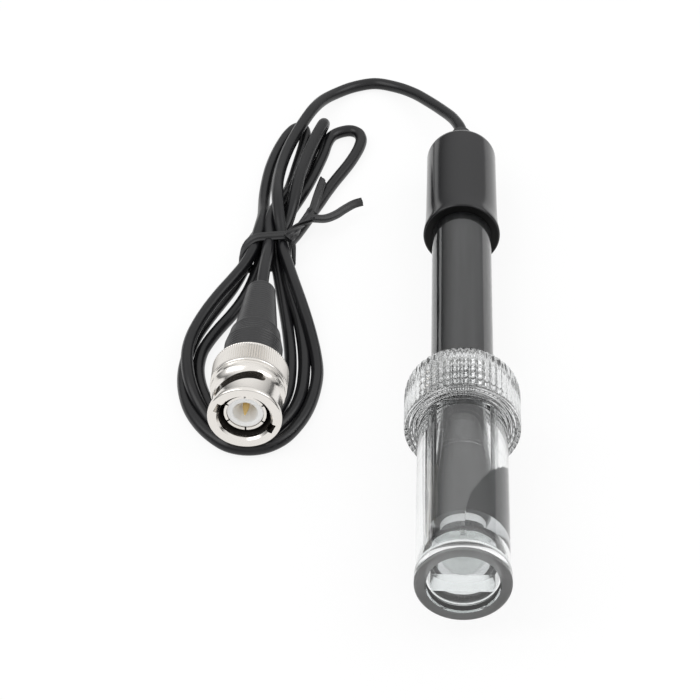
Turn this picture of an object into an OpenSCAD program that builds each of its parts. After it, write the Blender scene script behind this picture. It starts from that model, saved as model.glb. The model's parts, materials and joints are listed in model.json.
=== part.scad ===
// pH electrode in its storage bottle, with a tied cable and a bayonet plug.
// Units are millimetres. The electrode lies on z = 0 with its bottle towards -Y.

/* [Electrode] */
// outside diameter of the electrode's body tube
body_d = 12; // [11.8:0.1:12.1]
// wall thickness of the body tube
body_wall = 1; // [0.8:0.1:1.1]
// diameter of the glass stem
stem_d = 4; // [3.6:0.1:4.4]
// diameter of the glass bulb
bulb_d = 9; // [8.6:0.1:9.2]
// thickness of the cable cap's wall
cap_wall = 0.8; // [0.6:0.05:1.0]
// how far the cap's flared lip stands out
lip_proud = 0.6; // [0.4:0.05:0.8]

/* [Storage bottle] */
// room between the body tube and the bottle's bore
bottle_gap = 0.7; // [0.6:0.05:0.8]
// thickness of the bottle's wall
bottle_wall = 1.75; // [1.65:0.05:2.1]
// how far the bottle's foot stands out
foot_proud = 0.25; // [0.1:0.05:0.6]
// thickness of the bottle's floor
floor_t = 3.2; // [2.6:0.1:3.6]
// thickness of the screw nut's wall outside its thread
nut_wall = 3.15; // [2.7:0.05:3.6]
// travel of the nut's thread for each turn
thread_pitch = 2; // [1.5:0.5:3]

/* [Plug] */
// diameter of the knurled grip of the bayonet coupling
grip_d = 14.8; // [14.6:0.1:15.0]
// diameter of the coupling's front
collar_d = 14.2; // [14.0:0.1:14.4]
// outside diameter of the slotted contact sleeve
sleeve_d = 8.1; // [8.0:0.05:8.2]
// diameter of the centre pin
pin_d = 1.36; // [1.3:0.02:1.4]

/* [Cable] */
// diameter of the cable
cable_d = 2.5; // [2.4:0.1:2.6]

/* [Output] */
// which node to build

/* [Hidden] */
$fn = 48;

// Fits
skin = 0.02;
running = 0.05;
sliding_gap = 0.15;
thread_gap = 0.23;
past = 1;

// Stations along the electrode, from the bottle's foot at 0 to the cable
tip_z = 7.5;
bulb_z = 10.5;
seal_z = 12.4;
seal_top_z = 20;
body_top_z = 112;
stem_short = 4;
stem_top_z = body_top_z - stem_short;
upper_seal_len = 3.5;
gel_top_z = stem_top_z - upper_seal_len;
cap_lap = 9;
lip_z = body_top_z - cap_lap;
cap_len = 29.5;
cap_top_z = lip_z + cap_len;
gland_len = 7;
gland_z = cap_top_z + gland_len;
neck_z = 41.5;
neck_len = 9.5;
neck_top_z = neck_z + neck_len;
nut_clear = 0.5;
nut_z = neck_z + nut_clear;

// Electrode sizes
body_r = body_d / 2;
body_bore_r = body_r - body_wall;
stem_r = stem_d / 2;
stem_wall = 0.6;
stem_bore_r = stem_r - stem_wall;
bulb_r = bulb_d / 2;
bulb_wall = 0.5;
buffer_top_z = 62;
wire_r = 0.4;
wire_foot_z = bulb_z;
wire_reach = 6.5;
wire_top_z = body_top_z + wire_reach;
reference_x = 3.4;
reference_foot_z = 30;
junction_r = 0.3;
junction_x = 4.55;
joint_lap = 2;
joint_len = 4.5;
core_len = 5;
joint_foot_z = wire_top_z - joint_lap;
joint_top_z = joint_foot_z + joint_len;
core_r = 0.75;
sleeve_wall = 0.4;
pigtail_in = 0.6;
pigtail_back = 0.3;
jacket_z = joint_top_z + core_len;
cable_r = cable_d / 2;

// Cap sizes
cap_gap = 0.4;
cap_room_r = body_r + cap_gap;
cap_r = cap_room_r + cap_wall;
lip_r = cap_r + lip_proud;
lip_edge_h = 0.4;
lip_band_h = 0.6;
flare_len = 5;
lip_edge_z = lip_z + lip_edge_h;
lip_band_z = lip_edge_z + lip_band_h;
flare_z = lip_z + flare_len;
lip_face_w = 1.4;
flare_extra = 0.1;
shoulder_r = 2.5;
cap_ceiling_t = 3.6;
cap_ceiling_z = cap_top_z - cap_ceiling_t;
gland_r = 2.4;
gland_step = 0.3;
gland_tip_r = 2.1;
gland_collar_r = 3.4;
gland_collar_t = 1.2;

// Bottle sizes
bottle_bore_r = body_r + bottle_gap;
bottle_r = bottle_bore_r + bottle_wall;
foot_r = bottle_r + foot_proud;
foot_edge = 0.4;
foot_h = 2.2;
foot_taper_z = 5;
recess_t = 0.35;
neck_wall = 0.9;
neck_r = bottle_bore_r + neck_wall;
seal_r = 0.87;
seal_ring_r = body_r + running + seal_r;
seal_centre_z = neck_top_z + seal_r;
washer_z = neck_top_z + 2 * seal_r + skin;
washer_t = 0.7;

// Nut sizes
nut_edge = 0.5;
nut_bore_r = neck_r + thread_gap + skin;
nut_r = nut_bore_r + nut_wall;
nut_ceiling_z = washer_z + washer_t + skin;
nut_hole_r = body_r + sliding_gap;
nut_ceiling_t = 1.72;
nut_top_z = nut_ceiling_z + nut_ceiling_t;
nut_brow_h = 1.6;
nut_brow_z = nut_top_z - nut_brow_h;
nut_rim_h = 3.7;
nut_rim_z = nut_top_z - nut_rim_h;
nut_brow_in = 0.55;
nut_crown_in = 1.8;
nut_brow_r = nut_r - nut_brow_in;
nut_crown_r = nut_r - nut_crown_in;

// The electrode lies on the nut's rim and on the shoulder of its cap
lie_a = nut_r - cap_r + shoulder_r;
lie_b = cap_top_z - shoulder_r - nut_rim_z;
lie_angle = acos(shoulder_r / norm([lie_a, lie_b])) - atan2(lie_b, lie_a);
lie_z = nut_r * cos(lie_angle) + nut_rim_z * sin(lie_angle);
lie_y = -(gland_z * cos(lie_angle) + (gland_tip_r - foot_r) * sin(lie_angle)) / 2;
pool_drop = 3.7;
pool_top_z = lie_z - floor_t * sin(lie_angle) - pool_drop;

// Plug sizes, measured from the mouth of the coupling towards the cable
plug_at = [-41, -24.1, 10];
plug_yaw = 1.5;
plug_tilt = 3;
collar_r = collar_d / 2;
grip_r = grip_d / 2;
coupling_edge = 0.4;
front_t = 1.1;
waist_in = 0.6;
waist_r = collar_r - waist_in;
front_slope = 0.4;
flare_foot_z = 6.6;
flare_top_z = 8.3;
grip_z = 8.9;
coupling_len = 14.2;
mouth_r = 5;
flange_z = 9.9;
flange_top_z = 11.5;
flange_hole_r = 4.4;
rear_room_r = 6.2;
bayonet_w = 2.1;
bayonet_key_r = 6;
bayonet_key_len = 3.5;
bayonet_rise = 2;
bayonet_turn = 90;
bayonet_steps = 14;
bayonet_start = 156;
sleeve_z = 1.6;
sleeve_r = sleeve_d / 2;
contact_wall = 0.5;
sleeve_bore_r = sleeve_r - contact_wall;
sleeve_slots = 6;
sleeve_slot_w = 0.35;
sleeve_slot_len = 4.2;
sleeve_seam = 7.5;
shoulder_z = 7.2;
collar_top_z = 8.2;
body_collar_r = 4.7;
barrel_gap = 0.07;
barrel_r = flange_hole_r - barrel_gap;
barrel_top_z = 14.9;
back_flange_r = 5.2;
back_flange_z = 16.4;
spigot_r = 2.3;
spigot_bore_r = 1.35;
spigot_z = 26;
spring_t = 1;
spring_r = 4.85;
retainer_t = 0.6;
retainer_r = 5.6;
retainer_groove_r = 4.05;
gasket_z = 6.4;
gasket_seat_in = 0.2;
gasket_seat_r = sleeve_r - gasket_seat_in;
insulator_face_z = 1.8;
insulator_back_z = 9;
cone_r = 2.45;
cone_floor_r = 1.3;
cone_floor_z = 5.2;
pin_r = pin_d / 2;
pin_point_r = 0.15;
pin_point_z = 1.2;
pin_shank_z = 3.4;
pin_bucket_z = 9.2;
pin_bucket_r = 1;
pin_bucket_wall = 0.25;
pin_room_gap = 0.5;
pin_top_z = 13;
ferrule_r = 2.9;
ferrule_z = 17;
ferrule_top_z = 25.5;
boot_z = 14.7;
boot_r = 5.7;
boot_band_z = 21;
boot_step_z = 25.4;
boot_step_r = 4.9;
boot_neck_r = 4.4;
boot_top_z = 40;
boot_edge = 0.7;
boot_tip_r = 2.9;
boot_room_z = 26.5;

// Cable route: points chosen along the lead and the tail
cable_sides = 8;
lead_route = [
    [-0.4, 73, 6.6], [-1.8, 77, 5.8], [-4.1, 81.2, 4.8], [-7, 85.6, 3.8],
    [-10.4, 90, 2.8], [-14.4, 93.4, 1.9], [-19, 95.2, 1.4], [-23.6, 93.8, 1.4],
    [-27.4, 90.6, 1.9], [-30.2, 86.6, 2.9], [-32.2, 82, 3.8], [-33.9, 77.6, 3.9],
    [-35.4, 73, 4], [-36.7, 68.4, 4], [-37.2, 61.2, 3.8], [-37.6, 56, 3.8],
    [-37.6, 51.5, 3.8], [-37.6, 47, 3.8]
];
tail_route = [
    [-39.85, 20, 7.65], [-39.7, 24.4, 7.3], [-39.5, 29.2, 6.8], [-39.4, 34, 6.4], [-39.4, 38.6, 6.3],
    [-39.4, 43, 5.6]
];

// Hank: three turns that lie side by side, gathered by the tie
turns = 3;
hank_t = cable_d;
hank_bottom_y = -22.8;
hank_tie_y = 38;
hank_axis_x = -41;
hank_tie_x = -39.4;
hank_half_w = 14.2;
hank_tie_half_w = 3.4;
hank_steps = 18;
fan_r = 10.4;
fan_at = [-31.2, 72.4];
knot_w = 10.8;
knot_foot_y = 29;
knot_top_y = 47;
knot_t = 2 * cable_d;

// Tie: a band round the knot, a twist and two ends
tie_y = 34;
tie_w = 2.6;
tie_t = 0.8;
tie_corner_r = 0.8;
tie_room = [knot_w + 2 * skin, 6.9];
tie_r = 0.8;
tie_twist_r = 1.3;
tie_neck = [[-33.4, 36, 7], [-32.6, 40, 6.2], [-31.6, 44.4, 5.2], [-30.8, 48, 4.4]];
tie_end_a = [[-30.8, 48, 4.4], [-30.2, 52, 4], [-29.8, 56, 3.7], [-29.3, 61, 3.6]];
tie_end_b = [[-30.8, 48, 4.4], [-27.4, 49.2, 4], [-24, 50.6, 3.4], [-20.8, 53.6, 3.2]];

// Basic solids on the local Z axis
module rod(r, from_z, to_z) {
    translate([0, 0, from_z])
        cylinder(r = r, h = to_z - from_z);
}

module taper(from_r, to_r, from_z, to_z) {
    translate([0, 0, from_z])
        cylinder(r1 = from_r, r2 = to_r, h = to_z - from_z);
}

module ring(outer_r, inner_r, from_z, to_z) {
    difference() {
        rod(outer_r, from_z, to_z);
        rod(inner_r, from_z - past, to_z + past);
    }
}

module hoop(ring_r, section_r, at_z) {
    translate([0, 0, at_z])
        rotate_extrude()
            translate([ring_r, 0])
                circle(r = section_r);
}

// Places a solid along the lying electrode
module lie() {
    translate([0, lie_y, lie_z])
        rotate([-(90 + lie_angle), 0, 0])
            children();
}

// Places a solid along the plug
module plug_lie() {
    translate(plug_at)
        rotate([0, 0, -plug_yaw])
            rotate([-(90 + plug_tilt), 0, 0])
                children();
}

// A faceted tube along a list of points
function unit(v) = v / norm(v);

function heading(route, i) = unit(route[min(i + 1, len(route) - 1)] - route[max(i - 1, 0)]);

function section(route, i, r) =
    let (t = heading(route, i), s = unit(cross(t, [0, 0, 1])), u = cross(s, t))
    [for (k = [0:cable_sides - 1]) let (a = 360 * k / cable_sides) route[i] + r * (cos(a) * s + sin(a) * u)];

module swept(route, r) {
    n = cable_sides;
    last = len(route) - 1;
    corners = [for (i = [0:last]) each section(route, i, r)];
    lower = [for (i = [0:last - 1]) for (k = [0:n - 1]) [i * n + k, i * n + (k + 1) % n, (i + 1) * n + k]];
    upper = [
        for (i = [0:last - 1]) for (k = [0:n - 1])
            [i * n + (k + 1) % n, (i + 1) * n + (k + 1) % n, (i + 1) * n + k]
    ];
    start = [[for (k = [0:n - 1]) n - 1 - k]];
    end = [[for (k = [0:n - 1]) last * n + k]];
    polyhedron(points = corners, faces = concat(lower, upper, start, end));
}

// Electrode
module body_tube() {
    color([0.25, 0.26, 0.27])
        lie()
            ring(body_r, body_bore_r, tip_z, body_top_z);
}

module glass_electrode() {
    color([0.85, 0.9, 0.9])
        lie()
            difference() {
                union() {
                    rod(stem_r, bulb_z, stem_top_z);
                    translate([0, 0, bulb_z])
                        sphere(r = bulb_r);
                }
                rod(stem_bore_r, bulb_z, stem_top_z + past);
                translate([0, 0, bulb_z])
                    sphere(r = bulb_r - bulb_wall);
            }
}

module inner_buffer() {
    color([0.8, 0.85, 0.88])
        lie()
            difference() {
                union() {
                    rod(stem_bore_r - skin, bulb_z, buffer_top_z);
                    translate([0, 0, bulb_z])
                        sphere(r = bulb_r - bulb_wall - skin);
                }
                rod(wire_r + skin, wire_foot_z - skin, buffer_top_z + past);
            }
}

module measuring_wire() {
    color([0.75, 0.74, 0.72])
        lie()
            rod(wire_r, wire_foot_z, wire_top_z);
}

module reference_wire() {
    color([0.7, 0.7, 0.7])
        lie()
            translate([reference_x, 0, 0])
                rod(wire_r, reference_foot_z, wire_top_z);
}

module reference_gel() {
    color([0.6, 0.62, 0.62])
        lie()
            difference() {
                ring(body_bore_r - skin, stem_r + skin, seal_top_z + skin, gel_top_z);
                translate([reference_x, 0, 0])
                    rod(wire_r + skin, reference_foot_z - skin, gel_top_z + past);
            }
}

module tip_seal() {
    color([0.2, 0.2, 0.2])
        lie()
            difference() {
                ring(body_bore_r - skin, stem_r + skin, seal_z, seal_top_z);
                translate([0, 0, bulb_z])
                    sphere(r = bulb_r + skin);
                translate([-junction_x, 0, 0])
                    rod(junction_r + skin, seal_z - past, seal_top_z + past);
            }
}

module reference_junction() {
    color([0.92, 0.91, 0.88])
        lie()
            translate([-junction_x, 0, 0])
                rod(junction_r, seal_z - skin, seal_top_z + skin);
}

module upper_seal() {
    color([0.3, 0.3, 0.3])
        lie()
            difference() {
                ring(body_bore_r - skin, stem_r + skin, gel_top_z + skin, stem_top_z);
                translate([reference_x, 0, 0])
                    rod(wire_r + skin, gel_top_z - past, stem_top_z + past);
            }
}

module pigtail(r) {
    run = [reference_x - cable_r, jacket_z - joint_top_z + pigtail_in];
    translate([reference_x, 0, joint_top_z - pigtail_back])
        rotate([0, -atan2(run[0], run[1]), 0])
            cylinder(r = r, h = norm(run));
}

module cap_potting() {
    color([0.12, 0.12, 0.12])
        lie()
            difference() {
                rod(cap_room_r - skin, body_top_z + skin, cap_ceiling_z - gland_collar_t - skin);
                rod(wire_r + skin, body_top_z - past, wire_top_z);
                rod(core_r + sleeve_wall + skin, joint_foot_z - skin, joint_top_z + skin);
                rod(core_r + skin, joint_top_z, jacket_z);
                rod(cable_r + skin, jacket_z - skin, cap_ceiling_z);
                pigtail(wire_r + skin);
                translate([reference_x, 0, 0]) {
                    rod(wire_r + skin, body_top_z - past, wire_top_z);
                    rod(wire_r + sleeve_wall + skin, joint_foot_z - skin, joint_top_z + skin);
                }
            }
}

module core_joint() {
    color([0.7, 0.1, 0.1])
        lie()
            difference() {
                rod(core_r + sleeve_wall, joint_foot_z, joint_top_z);
                rod(wire_r + skin, joint_foot_z - past, wire_top_z + skin);
                rod(core_r + skin, wire_top_z, joint_top_z + past);
            }
}

module shield_joint() {
    color([0.1, 0.1, 0.1])
        lie()
            translate([reference_x, 0, 0])
                ring(wire_r + sleeve_wall, wire_r + skin, joint_foot_z, joint_top_z - pigtail_in);
}

module cable_end_cap() {
    color([0.05, 0.05, 0.05])
        lie()
            union() {
                rod(core_r, wire_top_z + skin, jacket_z);
                rod(cable_r, jacket_z, gland_z);
                pigtail(wire_r);
            }
}

module cable_cap() {
    color([0.04, 0.04, 0.04])
        lie()
            difference() {
                union() {
                    taper(body_r + lip_face_w, lip_r, lip_z, lip_edge_z);
                    rod(lip_r, lip_edge_z, lip_band_z);
                    taper(lip_r, cap_r + flare_extra, lip_band_z, flare_z);
                    taper(cap_r + flare_extra, cap_r, flare_z, cap_top_z - shoulder_r);
                    hoop(cap_r - shoulder_r, shoulder_r, cap_top_z - shoulder_r);
                    rod(cap_r - shoulder_r, cap_top_z - shoulder_r - past, cap_top_z);
                }
                rod(body_r + skin, lip_z - past, body_top_z + skin);
                rod(cap_room_r, body_top_z, cap_ceiling_z);
                rod(gland_r - gland_step + skin, cap_ceiling_z - past, cap_top_z + past);
            }
}

module cable_gland() {
    color([0.1, 0.1, 0.1])
        lie()
            difference() {
                union() {
                    rod(gland_collar_r, cap_ceiling_z - gland_collar_t, cap_ceiling_z - skin);
                    rod(gland_r - gland_step, cap_ceiling_z - gland_collar_t, cap_top_z + skin);
                    taper(gland_r, gland_tip_r, cap_top_z + skin, gland_z);
                }
                rod(cable_r + skin, cap_ceiling_z - gland_collar_t - past, gland_z + past);
            }
}

// Storage bottle
module storage_bottle() {
    color([0.85, 0.87, 0.88])
        lie()
            difference() {
                union() {
                    taper(foot_r - foot_edge, foot_r, 0, foot_edge);
                    rod(foot_r, foot_edge, foot_h);
                    taper(foot_r, bottle_r, foot_h, foot_taper_z);
                    rod(bottle_r, foot_taper_z, neck_z);
                    rod(neck_r, neck_z, neck_top_z);
                }
                rod(bottle_bore_r, -past, recess_t);
                rod(bottle_bore_r, floor_t, neck_top_z + past);
            }
}

module storage_solution() {
    color([0.6, 0.75, 0.8])
        difference() {
            lie()
                difference() {
                    rod(bottle_bore_r - skin, floor_t + skin, neck_top_z - running);
                    rod(body_r + running, tip_z - running, neck_top_z + past);
                }
            translate([-2 * bottle_r, lie_y - 2 * bottle_r, pool_top_z])
                cube([4 * bottle_r, neck_top_z + 4 * bottle_r, 2 * bottle_r]);
        }
}

module bottle_seal() {
    color([0.5, 0.5, 0.5])
        lie()
            hoop(seal_ring_r, seal_r, seal_centre_z);
}

module seal_washer() {
    color([0.85, 0.85, 0.85])
        lie()
            ring(nut_bore_r - sliding_gap, body_r + running, washer_z, washer_z + washer_t);
}

module bottle_nut() {
    color([0.85, 0.87, 0.88])
        lie()
            difference() {
                union() {
                    taper(nut_r - nut_edge, nut_r, nut_z, nut_z + nut_edge);
                    rod(nut_r, nut_z + nut_edge, nut_rim_z);
                    taper(nut_r, nut_brow_r, nut_rim_z, nut_brow_z);
                    taper(nut_brow_r, nut_crown_r, nut_brow_z, nut_top_z);
                }
                rod(nut_bore_r, nut_z - past, nut_ceiling_z);
                rod(nut_hole_r, nut_z, nut_top_z + past);
            }
}

// Plug
module bayonet_slot() {
    rotate([0, 0, -bayonet_start])
        translate([mouth_r - past, -bayonet_w / 2, -past])
            cube([bayonet_key_r - mouth_r + past, bayonet_w, bayonet_key_len + past]);
    for (i = [0:bayonet_steps])
        rotate([0, 0, -bayonet_start + bayonet_turn * i / bayonet_steps])
            translate([mouth_r - past, 0, bayonet_key_len + bayonet_rise * i / bayonet_steps])
                rotate([0, 90, 0])
                    cylinder(r = bayonet_w / 2, h = grip_r - mouth_r + 2 * past);
}

module bnc_coupling() {
    color([0.8, 0.78, 0.76])
        plug_lie()
            difference() {
                union() {
                    taper(collar_r - coupling_edge, collar_r, 0, coupling_edge);
                    rod(collar_r, coupling_edge, front_t);
                    taper(collar_r, waist_r, front_t, front_t + front_slope);
                    rod(waist_r, front_t, flare_foot_z);
                    taper(waist_r, collar_r, flare_foot_z, flare_top_z);
                    rod(collar_r, flare_top_z, grip_z);
                    taper(grip_r - coupling_edge, grip_r, grip_z, grip_z + coupling_edge);
                    rod(grip_r, grip_z + coupling_edge, coupling_len - coupling_edge);
                    taper(grip_r, grip_r - coupling_edge, coupling_len - coupling_edge, coupling_len);
                }
                rod(mouth_r, -past, flange_z);
                rod(flange_hole_r, 0, coupling_len);
                rod(rear_room_r, flange_top_z, coupling_len + past);
                bayonet_slot();
                rotate([0, 0, 180])
                    bayonet_slot();
            }
}

module bnc_spring() {
    color([0.6, 0.6, 0.6])
        plug_lie()
            ring(spring_r, barrel_r + running, flange_z - spring_t - skin, flange_z - skin);
}

module bnc_retainer() {
    color([0.6, 0.6, 0.6])
        plug_lie()
            ring(retainer_r, retainer_groove_r + skin, flange_top_z + running, flange_top_z + running + retainer_t);
}

module bnc_body() {
    groove_foot_z = flange_top_z + running - skin;
    color([0.82, 0.8, 0.78])
        plug_lie()
            difference() {
                union() {
                    rotate([0, 0, sleeve_seam])
                        rod(sleeve_r, sleeve_z, gasket_z);
                    rod(gasket_seat_r, gasket_z, shoulder_z);
                    rod(body_collar_r, shoulder_z, collar_top_z);
                    rod(barrel_r, collar_top_z, groove_foot_z);
                    rod(retainer_groove_r, groove_foot_z, groove_foot_z + retainer_t + 2 * skin);
                    rod(barrel_r, groove_foot_z + retainer_t + 2 * skin, barrel_top_z);
                    rod(back_flange_r, barrel_top_z, back_flange_z);
                    rod(spigot_r, back_flange_z, spigot_z);
                }
                rod(sleeve_bore_r, 0, insulator_back_z + skin);
                rod(pin_bucket_r + pin_room_gap, insulator_back_z, pin_top_z + past);
                rod(spigot_bore_r, pin_top_z, spigot_z + past);
                for (i = [0:sleeve_slots - 1])
                    rotate([0, 0, 360 * (i + 0.5) / sleeve_slots])
                        translate([0, -sleeve_slot_w / 2, sleeve_z - past])
                            cube([sleeve_r + past, sleeve_slot_w, sleeve_slot_len + past]);
            }
}

module bnc_gasket() {
    color([0.7, 0.25, 0.15])
        plug_lie()
            ring(body_collar_r, gasket_seat_r + skin, gasket_z + skin, shoulder_z - skin);
}

module bnc_insulator() {
    color([0.95, 0.95, 0.94])
        plug_lie()
            difference() {
                rod(sleeve_bore_r - skin, insulator_face_z, insulator_back_z);
                taper(cone_r, cone_floor_r, insulator_face_z - skin, cone_floor_z);
                rod(pin_r + skin, insulator_face_z - past, insulator_back_z + past);
            }
}

module bnc_pin() {
    color([0.75, 0.6, 0.3])
        plug_lie()
            difference() {
                union() {
                    taper(pin_point_r, pin_r, pin_point_z, pin_shank_z);
                    rod(pin_r, pin_shank_z, pin_bucket_z);
                    rod(pin_bucket_r, pin_bucket_z, pin_top_z);
                }
                rod(pin_bucket_r - pin_bucket_wall, pin_bucket_z + past, pin_top_z + past);
            }
}

module crimp_ferrule() {
    color([0.75, 0.74, 0.72])
        plug_lie()
            ring(ferrule_r, spigot_r + skin, ferrule_z, ferrule_top_z);
}

module bnc_boot() {
    color([0.05, 0.05, 0.05])
        plug_lie()
            difference() {
                union() {
                    rod(boot_r, boot_z, boot_band_z);
                    taper(boot_r, boot_step_r, boot_band_z, boot_step_z);
                    taper(boot_neck_r, boot_tip_r, boot_step_z, boot_top_z - boot_edge);
                    taper(boot_tip_r, boot_tip_r - boot_edge, boot_top_z - boot_edge, boot_top_z);
                }
                rod(back_flange_r + skin, boot_z - past, back_flange_z + skin);
                rod(ferrule_r + skin, boot_z, boot_room_z);
                rod(cable_r + skin, boot_z, boot_top_z + past);
            }
}

module cable_end_plug() {
    color([0.05, 0.05, 0.05])
        plug_lie()
            union() {
                rod(pin_bucket_r - pin_bucket_wall - skin, pin_bucket_z + past + skin, spigot_z + skin);
                rod(cable_r, spigot_z + skin, boot_top_z);
            }
}

// Cable
function electrode_point(z) = [0, lie_y + z * cos(lie_angle), lie_z - z * sin(lie_angle)];

function plug_point(z) =
    plug_at + z * [sin(plug_yaw) * cos(plug_tilt), cos(plug_yaw) * cos(plug_tilt), -sin(plug_tilt)];

module cable_lead() {
    color([0.05, 0.05, 0.05])
        swept(concat([electrode_point(gland_z)], lead_route), cable_r);
}

module cable_tail() {
    color([0.05, 0.05, 0.05])
        swept(concat([plug_point(boot_top_z)], tail_route), cable_r);
}

// Outline of a hank loop: a half circle at the foot that narrows towards the tie
function loop_x(u) = hank_axis_x + (hank_tie_x - hank_axis_x) * u;

function loop_outline(half_w, tie_half_w, foot_y) =
    let (wide_y = foot_y + half_w, rise = hank_tie_y - wide_y)
    concat(
        [for (i = [0:hank_steps]) let (a = 180 + 180 * i / hank_steps)
            [hank_axis_x + half_w * cos(a), wide_y + half_w * sin(a)]],
        [for (i = [1:hank_steps]) let (u = i / hank_steps)
            [loop_x(u) + tie_half_w + (half_w - tie_half_w) * cos(90 * u), wide_y + rise * u]],
        [for (i = [hank_steps:-1:1]) let (u = i / hank_steps)
            [loop_x(u) - tie_half_w - (half_w - tie_half_w) * cos(90 * u), wide_y + rise * u]]
    );

module loops() {
    outer_w = hank_half_w + cable_r;
    inner_w = outer_w - turns * cable_d;
    linear_extrude(height = hank_t)
        difference() {
            polygon(loop_outline(outer_w, hank_tie_half_w + cable_r, hank_bottom_y - cable_r));
            polygon(loop_outline(inner_w, skin, hank_bottom_y - cable_r + turns * cable_d));
        }
}

module fan() {
    linear_extrude(height = hank_t)
        polygon(concat(
            [[hank_tie_x - knot_w / 2, hank_tie_y]],
            [for (i = [0:hank_steps]) let (a = 170 - 190 * i / hank_steps) fan_at + fan_r * [cos(a), sin(a)]],
            [[hank_tie_x + knot_w / 2, hank_tie_y]]
        ));
}

module cable_hank() {
    color([0.05, 0.05, 0.05])
        difference() {
            union() {
                loops();
                fan();
                translate([hank_tie_x - knot_w / 2, knot_foot_y, 0])
                    cube([knot_w, knot_top_y - knot_foot_y, knot_t]);
            }
            translate([hank_tie_x - knot_w, tie_y - skin, -past])
                cube([2 * knot_w, tie_w + 2 * skin, tie_t + skin + past]);
        }
}

module tie_band() {
    translate([hank_tie_x, tie_y + tie_w, tie_t + tie_room[1] / 2])
        rotate([90, 0, 0])
            linear_extrude(height = tie_w)
                difference() {
                    offset(r = tie_corner_r + tie_t)
                        square([tie_room[0] - 2 * tie_corner_r, tie_room[1] - 2 * tie_corner_r], center = true);
                    offset(r = tie_corner_r)
                        square([tie_room[0] - 2 * tie_corner_r, tie_room[1] - 2 * tie_corner_r], center = true);
                }
}

module twist_tie() {
    color([0.08, 0.08, 0.08])
        union() {
            tie_band();
            swept(tie_neck, tie_twist_r);
            swept(tie_end_a, tie_r);
            swept(tie_end_b, tie_r);
        }
}

body_tube();
glass_electrode();
inner_buffer();
measuring_wire();
reference_wire();
reference_gel();
tip_seal();
reference_junction();
upper_seal();
cap_potting();
core_joint();
shield_joint();
cable_end_cap();
cable_cap();
cable_gland();
storage_bottle();
storage_solution();
bottle_seal();
seal_washer();
bottle_nut();
bnc_coupling();
bnc_spring();
bnc_retainer();
bnc_body();
bnc_gasket();
bnc_insulator();
bnc_pin();
crimp_ferrule();
bnc_boot();
cable_end_plug();
cable_lead();
cable_hank();
cable_tail();
twist_tie();
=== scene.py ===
"""Looks of a pH electrode in its storage bottle, with a tied cable and a bayonet plug.

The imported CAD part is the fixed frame. Each class below dresses one sub-assembly: it makes the
pieces that CAD leaves plain, such as ribs, knurls, threads and the cable's turns, and gives every
piece its finish. Sizes are in millimetres and are turned into metres as a mesh is placed.
"""

from __future__ import annotations

import json
import logging
import math
from dataclasses import dataclass
from enum import Enum
from typing import Callable, Iterable, Sequence

import bpy
import bmesh
from mathutils import Matrix, Vector

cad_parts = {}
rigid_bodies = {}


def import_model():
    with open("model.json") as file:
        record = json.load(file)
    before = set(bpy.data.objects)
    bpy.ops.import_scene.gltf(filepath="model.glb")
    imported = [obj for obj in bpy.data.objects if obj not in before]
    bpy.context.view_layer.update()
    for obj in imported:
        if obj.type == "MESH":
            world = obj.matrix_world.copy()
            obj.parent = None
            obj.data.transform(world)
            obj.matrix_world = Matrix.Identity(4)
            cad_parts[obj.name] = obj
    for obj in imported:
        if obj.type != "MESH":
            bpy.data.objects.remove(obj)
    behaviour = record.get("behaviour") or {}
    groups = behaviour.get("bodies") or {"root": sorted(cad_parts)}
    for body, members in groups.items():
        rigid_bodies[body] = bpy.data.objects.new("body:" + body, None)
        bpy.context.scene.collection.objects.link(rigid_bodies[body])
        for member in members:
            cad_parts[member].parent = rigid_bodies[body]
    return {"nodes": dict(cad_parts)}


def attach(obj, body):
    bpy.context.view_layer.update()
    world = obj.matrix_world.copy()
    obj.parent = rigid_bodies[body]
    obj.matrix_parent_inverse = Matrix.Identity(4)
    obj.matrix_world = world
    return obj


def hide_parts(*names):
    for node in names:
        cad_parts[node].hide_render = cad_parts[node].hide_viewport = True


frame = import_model()

LOG = logging.getLogger("ph_electrode")
MM = 0.001
Point = tuple[float, float, float]
Profile = list[tuple[float, float]]

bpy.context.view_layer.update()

# Where the electrode's axis starts and how it slopes, and the same for the plug
LIE_ANGLE = 2.7693
LIE_Y = -69.5091
LIE_Z = 13.4753
PLUG_AT = (-41.0, -24.1, 10.0)
PLUG_YAW = 1.5
PLUG_TILT = 3.0


def axis_placement(origin: Point, yaw: float, tilt: float) -> Matrix:
    """Gives the matrix from a sub-assembly's own millimetres to the frame's metres.

    Args:
        origin: where the sub-assembly's axis starts, in millimetres.
        yaw: the axis's turn from +Y towards +X, in degrees.
        tilt: the axis's slope below the horizontal, in degrees.

    Returns:
        The placement, with local +Z along the axis and local -Y upwards.
    """
    heading = Matrix.Rotation(math.radians(-yaw), 4, "Z")
    slope = Matrix.Rotation(math.radians(-90 - tilt), 4, "X")
    turn = heading @ slope
    return Matrix.Scale(MM, 4) @ Matrix.Translation(Vector(origin)) @ turn


ELECTRODE = axis_placement((0.0, LIE_Y, LIE_Z), 0.0, LIE_ANGLE)
PLUG = axis_placement(PLUG_AT, PLUG_YAW, PLUG_TILT)
GROUND = Matrix.Scale(MM, 4)

# Steps round the walls that have wet faces, so that the liquid's edge is smooth
FINE_TURN = 288


class Body(Enum):
    """The CAD bodies that pieces ride on."""

    ELECTRODE = "electrode"
    BOTTLE = "bottle"
    SEAL = "seal"
    NUT = "nut"
    THRUST = "thrust"
    COUPLING = "coupling"


class Surface(Enum):
    """How a finish's surface is broken up."""

    SMOOTH = "smooth"
    MOULDED = "moulded"
    DRAWN = "drawn"
    GRAINED = "grained"
    STREAKED = "streaked"


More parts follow.
